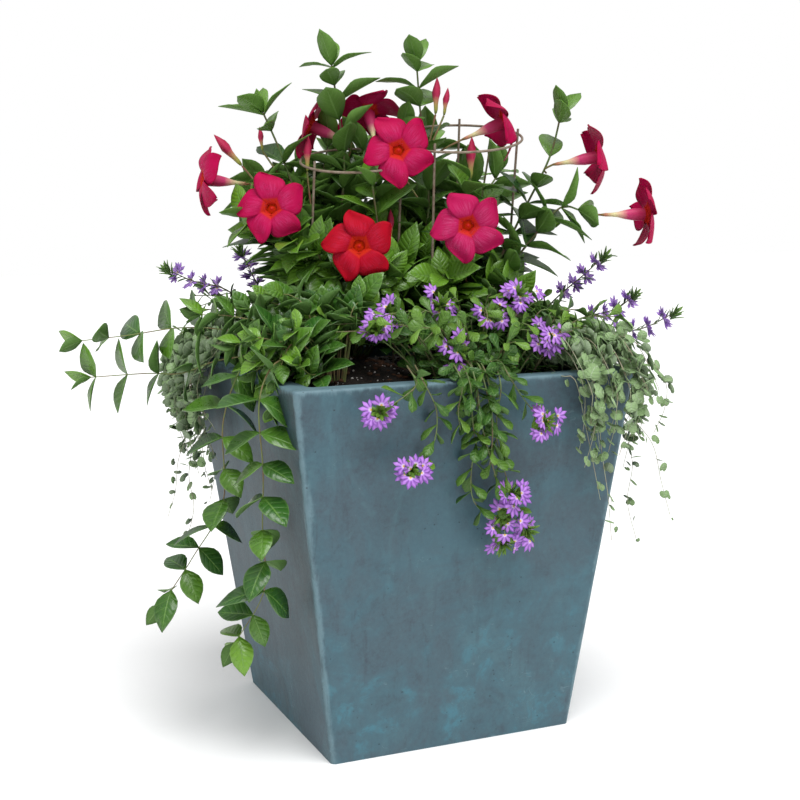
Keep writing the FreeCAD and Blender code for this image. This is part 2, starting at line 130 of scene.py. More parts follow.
class Shader:
    """A material under construction: one Principled surface and the nodes that feed it."""

    def __init__(self, name):
        self.material = bpy.data.materials.new(name)
        self.material.use_nodes = True
        self.tree = self.material.node_tree
        self.tree.nodes.clear()
        self.surface = self.tree.nodes.new("ShaderNodeBsdfPrincipled")
        output = self.tree.nodes.new("ShaderNodeOutputMaterial")
        self.tree.links.new(self.surface.outputs[0], output.inputs["Surface"])

    def plug(self, socket, value):
        if isinstance(value, Signal):
            self.tree.links.new(value.socket, socket)
        elif isinstance(value, tuple) and len(value) == 3 and socket.type == "RGBA":
            socket.default_value = (*value, 1.0)
        else:
            socket.default_value = value

    def add(self, kind, settings=None, values=None, output=0):
        """Any node: its type, its settings, its sockets' values or links, and the output to use."""
        node = self.tree.nodes.new("ShaderNode" + kind)
        for key, value in (settings or {}).items():
            if key == "stops":
                self.fill_ramp(node.color_ramp, value)
            else:
                setattr(node, key, value)
        for key, value in (values or {}).items():
            self.plug(node.inputs[key], value)
        return Signal(self, node.outputs[output])

    @staticmethod
    def fill_ramp(ramp, stops):
        while len(ramp.elements) < len(stops):
            ramp.elements.new(0.5)
        for element, (place, colour) in zip(ramp.elements, stops):
            element.position = place
            element.color = (*colour, 1.0)

    def place(self):
        return self.add("TexCoord", output="Object")

    def axes(self, vector):
        parts = self.add("SeparateXYZ", values={"Vector": vector})
        node = parts.socket.node
        return [Signal(self, node.outputs[i]) for i in range(3)]

    def stretch(self, vector, scale, shift=(0, 0, 0)):
        values = {"Vector": vector, "Scale": scale, "Location": shift}
        return self.add("Mapping", values=values)

    def noise(self, vector, scale, detail=3.0, rough=0.5, warp=0.0):
        values = {"Vector": vector, "Scale": scale, "Detail": detail, "Roughness": rough,
                  "Distortion": warp}
        return self.add("TexNoise", values=values, output="Fac")

    def mix(self, share, first, second):
        node = self.tree.nodes.new("ShaderNodeMix")
        node.data_type = "RGBA"
        self.plug(node.inputs["Factor"], share)
        self.plug(node.inputs[6], first)
        self.plug(node.inputs[7], second)
        return Signal(self, node.outputs[2])

    def bump(self, height, distance, strength=1.0):
        values = {"Height": height, "Distance": distance, "Strength": strength}
        return self.add("Bump", values=values)

    def sheet(self):
        """The flat coordinates of a leaf or petal: across it and along it."""
        return self.add("UVMap", {"uv_map": "leaf"})

    def own(self):
        """A number that differs from one leaf, petal or grain to the next."""
        return self.add("NewGeometry", output="Random Per Island")

    def beads(self, vector, scale):
        """The distance to the nearest of many scattered points."""
        return self.add("TexVoronoi", {"feature": "F1"}, {"Vector": vector, "Scale": scale})

    def finish(self, **sockets):
        for name, value in sockets.items():
            self.plug(self.surface.inputs[name.replace("_", " ")], value)
        return self.material


# ---------------------------------------------------------------- finishes
def cast_shell_finish(look):
    """Pigmented cast concrete: clouds of colour, stains, pinholes, scratches and edge wear, with a painted
    highlight along the edges and painted shade on the left side.
    """
    shader = Shader("cast_shell")
    place = shader.place()
    x, y, z = shader.axes(place)
    half = z * ((RIM_HALF - FOOT_HALF) / RIM_Z) + FOOT_HALF
    from_side = (half - abs(x)).math("MAXIMUM", half - abs(y))
    from_edge = from_side.math("MINIMUM", (RIM_Z - z) + 0.001)
    clouds = shader.noise(place, 6.0, 8.0, 0.68, 0.8)
    drift = shader.noise(shader.stretch(place, (1.0, 1.0, 0.5)), 13.0, 9.0, 0.72, 0.8)
    patch = shader.noise(place, 30.0, 7.0, 0.70, 0.4)
    grain = shader.noise(place, 190.0, 5.0, 0.75)
    smear = shader.noise(shader.stretch(place, (1.0, 1.0, 0.16)), 55.0, 6.0, 0.72, 0.8)
    base = shader.mix(clouds.step(0.40, 0.60), tuple(look.slate), tuple(look.teal))
    base = shader.mix(drift.step(0.50, 0.68) * 0.5, base, tuple(look.verdigris))
    high = z.step(0.26, 0.48) * drift.step(0.58, 0.40)
    base = shader.mix(high * 0.5, base, tuple(look.shadow_slate))
    base = shader.mix(smear.step(0.52, 0.72) * 0.55, base, tuple(look.shadow_slate))
    base = shader.mix(patch.step(0.52, 0.68) * 0.45, base, tuple(look.shadow_slate))
    base = shader.mix(patch.step(0.44, 0.28) * 0.35, base, tuple(look.verdigris))
    stain = z.step(0.34, 0.03) * patch.step(0.50, 0.38) * clouds.step(0.46, 0.60)
    base = shader.mix(stain * 0.8, base, tuple(look.stain))
    # Painted shade on the left side only: a thin dark colour that darkens that side and fades out near the
    # ground.
    left_side = (abs(x) - abs(y)).step(-0.004, 0.004) * x.step(0.01, -0.01)
    left_painted_shade = left_side * z.step(0.03, 0.20) * (smear * 0.5 + 0.2)
    base = shader.mix(left_painted_shade, base, (0.020, 0.024, 0.024))
    # Pale band along the edges and the rim: partly real wear, partly a painted highlight on the rounded
    # edges.
    rubbed = (from_edge + (smear - 0.5) * 0.022 + (patch - 0.5) * 0.014).step(0.009, 0.001)
    base = shader.mix(rubbed * 0.85, base, tuple(look.worn_and_highlight))
    base = shader.mix((grain - 0.5) * 1.1 + 0.15, base, tuple(look.verdigris))
    cells = shader.beads(place, 75.0)
    pits = cells.step(0.11, 0.07) * clouds.step(0.48, 0.60)
    base = shader.mix(pits * 0.6, base, (0.016, 0.022, 0.030))
    hairs = shader.noise(shader.stretch(place, (0.35, 1.0, 1.0), (0.4, 0.1, 0.7)), 21.0, 2.0, 0.5, 2.5)
    scratch = abs(hairs - 0.5).step(0.004, 0.001) * drift.step(0.52, 0.60)
    base = shader.mix(scratch * 0.5, base, tuple(look.worn_and_highlight))
    relief = clouds * 0.6 + patch * 0.4 + grain * 0.3 + smear * 0.3 - pits * 0.6 - scratch * 0.3
    normal = shader.bump(relief, 0.0012, 0.8)
    gloss = 0.60 - drift * 0.16 + patch * 0.1 + pits * 0.1
    return shader.finish(Base_Color=base, Roughness=gloss, Normal=normal)


def soil_finish(name, dark, pale, scale=220.0):
    """Crumbly potting mix: dark grains with a few paler fibres."""
    shader = Shader(name)
    place = shader.place()
    coarse = shader.noise(place, scale * 0.25, 5.0, 0.7)
    fine = shader.noise(place, scale, 5.0, 0.75)
    colour = shader.mix(fine.step(0.42, 0.75), dark, pale)
    colour = shader.mix(coarse.step(0.62, 0.40) * 0.6, colour, (0.006, 0.004, 0.003))
    normal = shader.bump(coarse + fine * 0.6, 0.003)
    return shader.finish(Base_Color=colour, Roughness=0.92 - fine * 0.2, Normal=normal)


def grain_finish(name, colour, shade):
    """Loose stones, bark or perlite: each grain has its own tone."""
    shader = Shader(name)
    place = shader.place()
    own = shader.own()
    rough = shader.noise(place, 500.0, 4.0, 0.7)
    base = shader.mix(own * 0.7 + rough * 0.3, colour, shade)
    normal = shader.bump(rough, 0.0008)
    return shader.finish(Base_Color=base, Roughness=0.85, Normal=normal)


def woven_finish(name, colour, dark, pitch):
    """A woven or needled sheet: crossed threads about a pitch apart."""
    shader = Shader(name)
    place = shader.place()
    x, y, _ = shader.axes(place)
    threads = (x * (math.tau / pitch)).math("SINE") * (y * (math.tau / pitch)).math("SINE")
    fuzz = shader.noise(place, 900.0, 3.0, 0.7)
    base = shader.mix(threads * 0.35 + fuzz * 0.6, dark, colour)
    normal = shader.bump(threads + fuzz, 0.0004)
    return shader.finish(Base_Color=base, Roughness=0.9 - fuzz * 0.1, Normal=normal)


def wire_finish(look):
    """Weathered steel wire: brown rust with duller and brighter stretches."""
    shader = Shader("hoop_wire")
    place = shader.place()
    rust = shader.noise(place, 90.0, 5.0, 0.7)
    fine = shader.noise(place, 900.0, 4.0, 0.7)
    base = shader.mix(rust.step(0.38, 0.62), tuple(look.wire), tuple(look.rust))
    base = shader.mix(fine.step(0.60, 0.80) * 0.4, base, (0.45, 0.38, 0.30))
    normal = shader.bump(fine + rust, 0.0004)
    metal = rust.step(0.55, 0.35) * 0.6
    return shader.finish(Base_Color=base, Metallic=metal, Roughness=0.45 + fine * 0.3, Normal=normal)


def leaf_finish(name, deep, fresh, vein, margin, veins=8.0, margin_share=0.0, gloss=0.34, wax=0.3):
    """A leaf's upper face: midrib and side veins, a margin, and each leaf its own green."""
    shader = Shader(name)
    place = shader.place()
    across, along, _ = shader.axes(shader.sheet())
    side = abs(across - 0.5) * 2
    own = shader.own()
    age = shader.add("Attribute", {"attribute_name": "fresh"}, output="Fac")
    mottle = shader.noise(place, 140.0, 3.0, 0.6)
    youth = (own * 0.45 + mottle * 0.4 + age * 0.75 - 0.2).step(0.0, 0.95)
    colour = shader.mix(youth, deep, fresh)
    colour = shader.mix(along.step(0.35, 0.0) * 0.2, colour, fresh)
    rib = side.step(0.085, 0.02)
    comb = ((along - side * 0.22) * veins).fraction()
    branch = abs(comb - 0.5).step(0.10, 0.02) * side.step(0.97, 0.8)
    colour = shader.mix(rib * 0.7 + branch * 0.28, colour, vein)
    rim = side.step(0.86, 0.96) * margin_share
    colour = shader.mix(rim, colour, margin)
    puffed = abs(comb - 0.5).step(0.02, 0.4)
    beads = shader.beads(place, 260.0)
    drops_and_glints = beads.step(0.34, 0.20) * shader.noise(place, 60.0, 2.0).step(0.50, 0.60)
    relief = puffed * 0.5 - rib * 0.6 - branch * 0.3 + mottle * 0.2 + drops_and_glints * 0.9
    normal = shader.bump(relief, 0.0009, 0.8)
    rough = gloss + mottle * 0.16 - drops_and_glints * 0.2
    return shader.finish(Base_Color=colour, Roughness=rough, Normal=normal, Coat_Weight=wax,
                         Coat_Roughness=0.22, Specular_IOR_Level=0.35)


def underside_finish(name, colour, vein):
    """The duller lower face of the leaves, with raised veins."""
    shader = Shader(name)
    across, along, _ = shader.axes(shader.sheet())
    side = abs(across - 0.5) * 2
    own = shader.own()
    rib = side.step(0.11, 0.03)
    comb = ((along - side * 0.22) * 8.0).fraction()
    branch = abs(comb - 0.5).step(0.12, 0.02)
    base = shader.mix(own * 0.5, colour, tuple(c * 0.55 for c in colour))
    base = shader.mix(rib * 0.6 + branch * 0.25, base, vein)
    normal = shader.bump(rib + branch * 0.5, 0.0006)
    return shader.finish(Base_Color=base, Roughness=0.55 + branch * 0.1, Normal=normal,
                         Specular_IOR_Level=0.25)


def stem_finish(name, green, brown):
    """Plant stems: green shading to brown, with fine lengthwise scuffs."""
    shader = Shader(name)
    place = shader.place()
    patch = shader.noise(place, 60.0, 4.0, 0.6)
    fine = shader.noise(shader.stretch(place, (1.0, 1.0, 0.2)), 700.0, 3.0, 0.7)
    base = shader.mix(patch.step(0.38, 0.66), green, brown)
    normal = shader.bump(fine, 0.0004)
    return shader.finish(Base_Color=base, Roughness=0.5 + fine * 0.2, Normal=normal)


def petal_finish(name, body, light, dark):
    """A velvety petal: an orange heart, then streaks of a paler tone, and a deeper edge."""
    shader = Shader(name)
    place = shader.place()
    sheet = shader.sheet()
    across, along, _ = shader.axes(sheet)
    side = abs(across - 0.5) * 2
    streaks = shader.noise(shader.stretch(sheet, (22.0, 1.4, 1.0)), 2.0, 5.0, 0.62, 0.3)
    clouds = shader.noise(place, 60.0, 4.0, 0.6)
    glow = along.step(0.10, 0.30) * along.step(0.85, 0.40) * (1 - side * 0.7)
    colour = shader.mix(clouds.step(0.35, 0.70) * 0.55, body, dark)
    colour = shader.mix(glow * (streaks * 1.6 + clouds * 0.6 - 0.85).step(0.0, 0.9), colour, light)
    colour = shader.mix(side.step(0.86, 1.0) * 0.35 + along.step(0.9, 1.0) * 0.3, colour, dark)
    colour = shader.mix(along.step(0.20, 0.11) * 0.9, colour, (0.52, 0.022, 0.006))
    beads = shader.beads(place, 420.0)
    drops_and_glints = beads.step(0.32, 0.16) * clouds.step(0.46, 0.58)
    # Painted highlight: the water droplets are also painted as paler spots where they would glint.
    colour = shader.mix(drops_and_glints * 0.35, colour, light)
    normal = shader.bump(streaks * 0.5 + clouds * 0.25 + drops_and_glints * 0.8, 0.0012, 0.8)
    rough = 0.55 - drops_and_glints * 0.3
    return shader.finish(Base_Color=colour, Roughness=rough, Normal=normal,
                         Specular_IOR_Level=0.08)


def trumpet_finish(name, stops):
    """A trumpet's tube: the colour follows the distance from the calyx to the throat."""
    shader = Shader(name)
    place = shader.place()
    reach = shader.add("Attribute", {"attribute_name": "reach"}, output="Fac")
    fine = shader.noise(place, 320.0, 3.0, 0.6)
    ramp = shader.add("ValToRGB", {"stops": stops}, {"Fac": reach + (fine - 0.5) * 0.08})
    normal = shader.bump(fine, 0.0004)
    return shader.finish(Base_Color=ramp, Roughness=0.42 + fine * 0.15, Normal=normal,
                         Specular_IOR_Level=0.25)


def floor_finish(look):
    """A matt, nearly even studio floor."""
    shader = Shader("studio_floor")
    place = shader.place()
    grain = shader.noise(place, 60.0, 3.0)
    tone = shader.mix(grain, tuple(look.floor), tuple(c * 0.985 for c in look.floor))
    return shader.finish(Base_Color=tone, Roughness=0.8)


# ---------------------------------------------------------------- outlines and routes
def along_stops(stops, share):
    """A smooth curve through (place, value) stops, read at a place."""
    share = min(max(share, stops[0][0]), stops[-1][0])
    index = next(i for i in range(1, len(stops)) if share <= stops[i][0] + 1e-9)
    (x0, y0), (x1, y1) = stops[index - 1], stops[index]
    before = stops[max(index - 2, 0)]
    after = stops[min(index + 1, len(stops) - 1)]
    slope0 = (y1 - before[1]) / (x1 - before[0])
    slope1 = (after[1] - y0) / (after[0] - x0)
    gap = x1 - x0
    t = (share - x0) / gap
    hermite = ((2 * t ** 3 - 3 * t ** 2 + 1) * y0 + (t ** 3 - 2 * t ** 2 + t) * gap * slope0
               + (3 * t ** 2 - 2 * t ** 3) * y1 + (t ** 3 - t ** 2) * gap * slope1)
    return hermite


def smooth_route(route, step):
    """Points about a step apart on a smooth curve through a route's points."""
    knots = [Vector(point) for point in route]
    knots = [knots[0] * 2 - knots[1], *knots, knots[-1] * 2 - knots[-2]]
    points = []
    for before, start, end, after in zip(knots, knots[1:], knots[2:], knots[3:]):
        parts = max(2, round((end - start).length / step))
        for part in range(parts):
            t = part / parts
            points.append(0.5 * (2 * start + (end - before) * t
                                 + (2 * before - 5 * start + 4 * end - after) * t ** 2
                                 + (3 * start - before - 3 * end + after) * t ** 3))
    points.append(knots[-2])
    return points


def distances(points):
    """How far along a line each of its points is."""
    total = [0.0]
    for before, after in zip(points, points[1:]):
        total.append(total[-1] + (after - before).length)
    return total


def walk(points, start, spacing):
    """Places along a line of points: (point, direction, distance still to go)."""
    total = distances(points)
    reach = start
    index = 1
    while reach <= total[-1]:
        while index < len(total) - 1 and total[index] < reach:
            index += 1
        share = (reach - total[index - 1]) / max(total[index] - total[index - 1], 1e-9)
        point = points[index - 1].lerp(points[index], share)
        yield point, (points[index] - points[index - 1]).normalized(), total[-1] - reach
        reach += spacing


# ---------------------------------------------------------------- making pieces
def finish_mesh(bm, name, smooth=True):
    """Turn a finished bmesh into a mesh whose faces point outwards."""
    bmesh.ops.recalc_face_normals(bm, faces=bm.faces)
    for face in bm.faces:
        face.smooth = smooth
    mesh = bpy.data.meshes.new(name)
    bm.to_mesh(mesh)
    bm.free()
    return mesh


def add_piece(name, mesh, materials, slot, *stands_for):
    """Link a finished mesh or curve that rides on the planter's one body."""
    for material in materials:
        mesh.materials.append(material)
    piece = bpy.data.objects.new(name, mesh)
    bpy.context.scene.collection.objects.link(piece)
    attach(piece, "root")
    if stands_for:
        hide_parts(*stands_for)
    return piece


def stem_piece(name, lines, radius, material, slot, *stands_for, thin=0.55, sides=2):
    """Round stems along lines of points, thinner towards their tips."""
    curve = bpy.data.curves.new(name, "CURVE")
    curve.dimensions = "3D"
    curve.bevel_depth = radius
    curve.bevel_resolution = sides
    curve.use_fill_caps = True
    for line in lines:
        spline = curve.splines.new("POLY")
        spline.points.add(len(line) - 1)
        for index, point in enumerate(line):
            spline.points[index].co = (*point, 1.0)
            spline.points[index].radius = 1 - (1 - thin) * index / (len(line) - 1)
    return add_piece(name, curve, [material], slot, *stands_for)


def leaf_shape(name, stops, across, along, fold, bow, thick, ripple=0.0, twist=0.0):
    """A unit leaf along +Y with its face up, as a thin closed solid.

    stops give the half width along the leaf; fold lifts its edges, bow drops its tip.
    """
    bm = bmesh.new()
    bm.loops.layers.uv.new("leaf")
    bm.verts.layers.float.new("fresh")
    bmesh.ops.create_grid(bm, x_segments=across, y_segments=along, size=0.5, calc_uvs=True)
    for vert in bm.verts:
        side = vert.co.x * 2
        far = vert.co.y + 0.5
        half = along_stops(stops, far)
        lift = fold * abs(side) * half - bow * far * far
        lift += ripple * math.sin(far * 11 + side * 2) * abs(side) * half
        lift += twist * side * half * far
        vert.co = (side * half, far, lift)
    bmesh.ops.remove_doubles(bm, verts=bm.verts, dist=1e-4)
    bmesh.ops.recalc_face_normals(bm, faces=bm.faces)
    bmesh.ops.solidify(bm, geom=bm.faces[:], thickness=thick)
    bmesh.ops.recalc_face_normals(bm, faces=bm.faces)
    for face in bm.faces:
        face.material_index = 1 if face.normal.z < -0.25 else 0
    return finish_mesh(bm, name)


def round_leaf_shape(name, segments, cup, thick):
    """A kidney-shaped unit leaf: a dished disc with a notch where its stalk joins."""
    bm = bmesh.new()
    bm.loops.layers.uv.new("leaf")
    bm.verts.layers.float.new("fresh")
    bmesh.ops.create_circle(bm, cap_ends=True, cap_tris=True, radius=0.5, segments=segments,
                            calc_uvs=True)
    for vert in bm.verts:
        reach = vert.co.length * 2
        bearing = vert.co.angle(Vector((0, -1, 0)), 0) if reach > 0.1 else 0.0
        notch = 0.5 * math.exp(-(bearing / 0.45) ** 2) if reach > 0.1 else 0.0
        vert.co *= 1 - notch
        vert.co.x *= 1.08
        vert.co.z = cup * reach ** 2
        vert.co.y += 0.42
    bmesh.ops.recalc_face_normals(bm, faces=bm.faces)
    bmesh.ops.solidify(bm, geom=bm.faces[:], thickness=thick)
    bmesh.ops.recalc_face_normals(bm, faces=bm.faces)
    for face in bm.faces:
        face.material_index = 1 if face.normal.z < -0.25 else 0
    return finish_mesh(bm, name)


def set_leaf(place, along, face_up, size):
    """The transform that sets a unit leaf at a place, pointing along, its face towards face_up."""
    y = along.normalized()
    x = y.cross(face_up)
    if x.length < 1e-4:
        x = y.orthogonal()
    x.normalize()
    z = x.cross(y)
    turn = Matrix((x, y, z)).transposed().to_4x4()
    return Matrix.Translation(place) @ turn @ Matrix.Scale(size, 4)


class Foliage:
    """Gathers copies of leaf and flower shapes into one mesh."""

    def __init__(self, name):
        self.name = name
        self.bm = bmesh.new()
        self.bm.verts.layers.float.new("fresh")
        self.keep_clear = []
        self.bare = None

    def misplaced(self, spot):
        """Whether a place hides a flower or bud, or lies in the patch that stays bare."""
        if self.bare:
            low, high = self.bare
            if all(low[axis] < spot[axis] < high[axis] for axis in range(3)):
                return True
        for centre, facing, depth, radius in self.keep_clear:
            ahead = (spot - centre).dot(facing)
            aside = (spot - centre - facing * ahead).length
            if -.012 < ahead < depth and aside < radius:
                return True
            if -.075 < ahead < depth and aside < radius * .4:
                return True
        return False

    def add(self, shape, transform, fresh=0.0):
        """Add a copy of a shape; fresh is 0 for an old leaf and 1 for the youngest."""
        if self.keep_clear or self.bare:
            along = [transform @ Vector((0, share, 0)) for share in (.1, .5, .9)]
            if any(self.misplaced(spot) for spot in along):
                return
        copy = shape.copy()
        copy.transform(transform)
        if "fresh" in copy.attributes:
            copy.attributes["fresh"].data.foreach_set("value", [fresh] * len(copy.vertices))
        self.bm.from_mesh(copy)
        bpy.data.meshes.remove(copy)

    def piece(self, materials, slot, *stands_for):
        mesh = bpy.data.meshes.new(self.name)
        self.bm.to_mesh(mesh)
        self.bm.free()
        return add_piece(self.name, mesh, materials, slot, *stands_for)


# ---------------------------------------------------------------- how leaves sit on shoots
class LeafHabit:
    """How one kind of plant carries its leaves."""

    def __init__(self, shapes, size, spacing, opening, sky, pairs=True, young=0.5, droop=0.0,
                 fresh_reach=0.05):
        self.shapes = shapes
        self.size = size
        self.spacing = spacing
        self.opening = opening
        self.sky = sky
        self.pairs = pairs
        self.young = young
        self.droop = droop
        self.fresh_reach = fresh_reach


def light_from(place):
    """Where leaves turn their faces: up, and away from the middle of the planter."""
    return (UP + Vector((place.x, place.y, 0)).normalized() * 0.7).normalized()


def dress_shoot(foliage, points, habit, dice, start=0.02, quarter=math.pi / 2):
    """Set leaves along a shoot in pairs or singly, smaller and fresher towards the tip."""
    turn = dice.uniform(0, math.tau)
    for place, ahead, left in walk(points, start, habit.spacing):
        light = light_from(place)
        sideways = ahead.cross(light)
        if sideways.length < 0.05:
            sideways = ahead.orthogonal()
        sideways.normalize()
        grown = habit.young + (1 - habit.young) * min(1.0, left / (3 * habit.spacing))
        fresh = max(0.0, 1 - left / habit.fresh_reach) * dice.uniform(0.6, 1.0)
        for half_turn in ((0, math.pi) if habit.pairs else (0,)):
            roll = Quaternion(ahead, turn + half_turn + dice.uniform(-0.25, 0.25))
            outward = roll @ sideways
            opening = habit.opening * (0.6 + 0.4 * grown) + dice.uniform(-0.18, 0.18)
            along = ahead * math.cos(opening) + outward * math.sin(opening)
            along.z -= habit.droop * dice.uniform(0.4, 1.3)
            along.normalize()
            face = (ahead - along * ahead.dot(along)).normalized()
            if face.dot(light) < 0:
                face.negate()
            face = face.lerp(light, habit.sky)
            face += Vector((dice.uniform(-0.25, 0.25), dice.uniform(-0.25, 0.25), 0))
            size = habit.size * grown * dice.uniform(0.82, 1.12)
            foliage.add(dice.choice(habit.shapes), set_leaf(place, along, face, size), fresh)
        turn += quarter + dice.uniform(-0.2, 0.2)


def end_tuft(foliage, points, habit, dice, leaves=3, scale=0.55, spread=0.4):
    """Young leaves that stand together round the tip of a shoot."""
    tip = points[-1]
    ahead = (points[-1] - points[-2]).normalized()
    side = ahead.orthogonal().normalized()
    for index in range(leaves):
        outward = Quaternion(ahead, index * math.tau / leaves + dice.uniform(-0.3, 0.3)) @ side
        along = ahead + outward * spread * dice.uniform(0.6, 1.3)
        size = habit.size * scale * dice.uniform(0.8, 1.15)
        transform = set_leaf(tip, along, ahead * 0.6 - outward, size)
        foliage.add(dice.choice(habit.shapes), transform, dice.uniform(0.75, 1.0))


# ---------------------------------------------------------------- settings
class StageLook(bpy.types.PropertyGroup):
    floor: bpy.props.FloatVectorProperty(
        name="Floor", description="Colour of the plain studio floor", subtype="COLOR",
        default=(0.96, 0.96, 0.96), min=0, max=1)
    sky_strength: bpy.props.FloatProperty(
        name="Surround", description="How strongly the white surround lights the planter",
        default=0.57, min=0)
    key_strength: bpy.props.FloatProperty(
        name="Key light", description="Strength of the soft light from above the front",
        default=3.0, min=0)
    key_softness: bpy.props.FloatProperty(
        name="Key softness", description="How wide the key light looks from the planter",
        default=math.radians(45), min=0, subtype="ANGLE")


class ShellLook(bpy.types.PropertyGroup):
    slate: bpy.props.FloatVectorProperty(
        name="Slate", description="Main grey-blue of the cast shell", subtype="COLOR",
        default=(0.048, 0.081, 0.106), min=0, max=1)
    teal: bpy.props.FloatVectorProperty(
        name="Teal", description="Greener clouds of the cast shell", subtype="COLOR",
        default=(0.044, 0.106, 0.138), min=0, max=1)
    verdigris: bpy.props.FloatVectorProperty(
        name="Verdigris", description="Pale blue-green bloom", subtype="COLOR",
        default=(0.064, 0.148, 0.178), min=0, max=1)
    shadow_slate: bpy.props.FloatVectorProperty(
        name="Dark slate", description="Darkest, slightly violet clouds", subtype="COLOR",
        default=(0.034, 0.046, 0.064), min=0, max=1)
    stain: bpy.props.FloatVectorProperty(
        name="Stain", description="Turquoise stains near the ground", subtype="COLOR",
        default=(0.045, 0.170, 0.225), min=0, max=1)
    # Pale colour for real wear on edges and scratches, and for the painted highlight along the edges.
    worn_and_highlight: bpy.props.FloatVectorProperty(
        name="Worn edge", description="Where edges are rubbed pale", subtype="COLOR",
        default=(0.135, 0.225, 0.262), min=0, max=1)
    wire: bpy.props.FloatVectorProperty(
        name="Wire", description="Bare wire of the plant hoops", subtype="COLOR",
        default=(0.280, 0.230, 0.175), min=0, max=1)
    rust: bpy.props.FloatVectorProperty(
        name="Rust", description="Rusted wire of the plant hoops", subtype="COLOR",
        default=(0.160, 0.105, 0.070), min=0, max=1)


class PlantLook(bpy.types.PropertyGroup):
    seed: bpy.props.IntProperty(
        name="Seed", description="Changes how every leaf is scattered", default=11, min=0)
    flower_radius: bpy.props.FloatProperty(
        name="Trumpet radius", description="Radius of an open trumpet flower",
        default=0.049, min=0.01, unit="LENGTH")
    climber_leaf: bpy.props.FloatProperty(
        name="Climber leaf", description="Length of a full leaf of the climbers",
        default=0.068, min=0.01, unit="LENGTH")
    vinca_leaf: bpy.props.FloatProperty(
        name="Vinca leaf", description="Length of a full vinca leaf",
        default=0.055, min=0.01, unit="LENGTH")
    fan_leaf: bpy.props.FloatProperty(
        name="Scaevola leaf", description="Length of a full scaevola leaf",
        default=0.029, min=0.005, unit="LENGTH")
    round_leaf: bpy.props.FloatProperty(
        name="Dichondra leaf", description="Width of a full dichondra leaf",
        default=0.023, min=0.005, unit="LENGTH")


# ---------------------------------------------------------------- stage
FLOOR_HALF = 12
KEY_DIRECTION = Vector((.06, .66, -1.20))
CAMERA_PLACE = (-0.780, -1.838, 0.742)
CAMERA_LENS = 63.3
# Degrees: to the right of the Y axis, down, and rolled.
CAMERA_HEADING = -23.0
CAMERA_DOWN = 8.3
CAMERA_ROLL = -0.6


class PLANTER_OT_stage(bpy.types.Operator):
    """Plain pale floor, soft studio light and the camera"""
    bl_idname = "planter.stage"
    bl_label = "Stage"

    def execute(self, context):
        look = context.scene.planter_stage
        bm = bmesh.new()
        bmesh.ops.create_grid(bm, x_segments=1, y_segments=1, size=FLOOR_HALF)
        floor_mesh = finish_mesh(bm, "studio_floor", smooth=False)
        floor_mesh.materials.append(floor_finish(look))
        floor = bpy.data.objects.new("studio_floor", floor_mesh)
        context.scene.collection.objects.link(floor)

        world = bpy.data.worlds.new("white_surround")
        world.use_nodes = True
        background = world.node_tree.nodes["Background"]
        background.inputs["Color"].default_value = (1, 1, 1, 1)
        seen = world.node_tree.nodes.new("ShaderNodeLightPath")
        strength = world.node_tree.nodes.new("ShaderNodeMapRange")
        strength.inputs["To Min"].default_value = look.sky_strength
        world.node_tree.links.new(seen.outputs["Is Camera Ray"], strength.inputs["Value"])
        world.node_tree.links.new(strength.outputs[0], background.inputs["Strength"])
        context.scene.world = world
        context.scene.view_settings.view_transform = "Standard"

        key = bpy.data.lights.new("key_light", "SUN")
        key.energy = look.key_strength
        key.angle = look.key_softness
        lamp = bpy.data.objects.new("key_light", key)
        context.scene.collection.objects.link(lamp)
        lamp.rotation_euler = KEY_DIRECTION.to_track_quat("-Z", "Y").to_euler()

        lens = bpy.data.cameras.new("camera")
        lens.lens = CAMERA_LENS
        lens.sensor_width = 36
        lens.dof.use_dof = False
        camera = bpy.data.objects.new("camera", lens)
        context.scene.collection.objects.link(camera)
        heading = Matrix.Rotation(math.radians(CAMERA_HEADING), 4, "Z")
        tilt = Matrix.Rotation(math.radians(90 - CAMERA_DOWN), 4, "X")
        roll = Matrix.Rotation(math.radians(CAMERA_ROLL), 4, "Z")
        stand = Matrix.Translation(CAMERA_PLACE)
        camera.matrix_world = stand @ heading @ tilt @ roll
        context.scene.camera = camera
        return {"FINISHED"}


# ---------------------------------------------------------------- box and fill
# The low and high corners of the space over the bare soil inside the front rim, and the heap of
# soil that rises behind it.
BARE_SOIL = ((-.140, -.245, SOIL_Z - .02), (-.050, -.050, .545))
HEAP = Vector((-.100, -.045, 0))
HEAP_RISE = .028
HEAP_REACH = .085


class PLANTER_OT_box(bpy.types.Operator):
    """Finishes for the cast shell, the wire hoops and the layers inside the box"""
    bl_idname = "planter.box"
    bl_label = "Box and fill"

    def execute(self, context):
        look = context.scene.planter_shell
        self.coat("planter_shell", cast_shell_finish(look))
        screen = woven_finish("screen_mesh", (0.05, 0.05, 0.05), (0.01, 0.01, 0.01), 0.002)
        self.coat("drain_screens", screen)
        self.coat("drainage_gravel", grain_finish("gravel", (0.30, 0.27, 0.23), (0.14, 0.12, 0.10)))
        cloth = woven_finish("filter_cloth", (0.40, 0.40, 0.38), (0.2, 0.2, 0.19), 0.0015)
        self.coat("filter_fabric", cloth)
        self.coat("potting_mix", soil_finish("soil", (0.010, 0.007, 0.005), (0.036, 0.024, 0.016)))
        roots = soil_finish("root_mass", (0.06, 0.04, 0.025), (0.22, 0.17, 0.11), 420.0)
        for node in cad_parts:
            if node.endswith("_roots"):
                self.coat(node, roots)
        wire = wire_finish(look)
        for side in ("left", "right"):
            self.coat("hoop_%s_ring" % side, wire)
            self.coat("hoop_%s_legs" % side, wire)
        return {"FINISHED"}

    @staticmethod
    def coat(node, material):
        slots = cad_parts[node].data.materials
        slots.clear()
        slots.append(material)


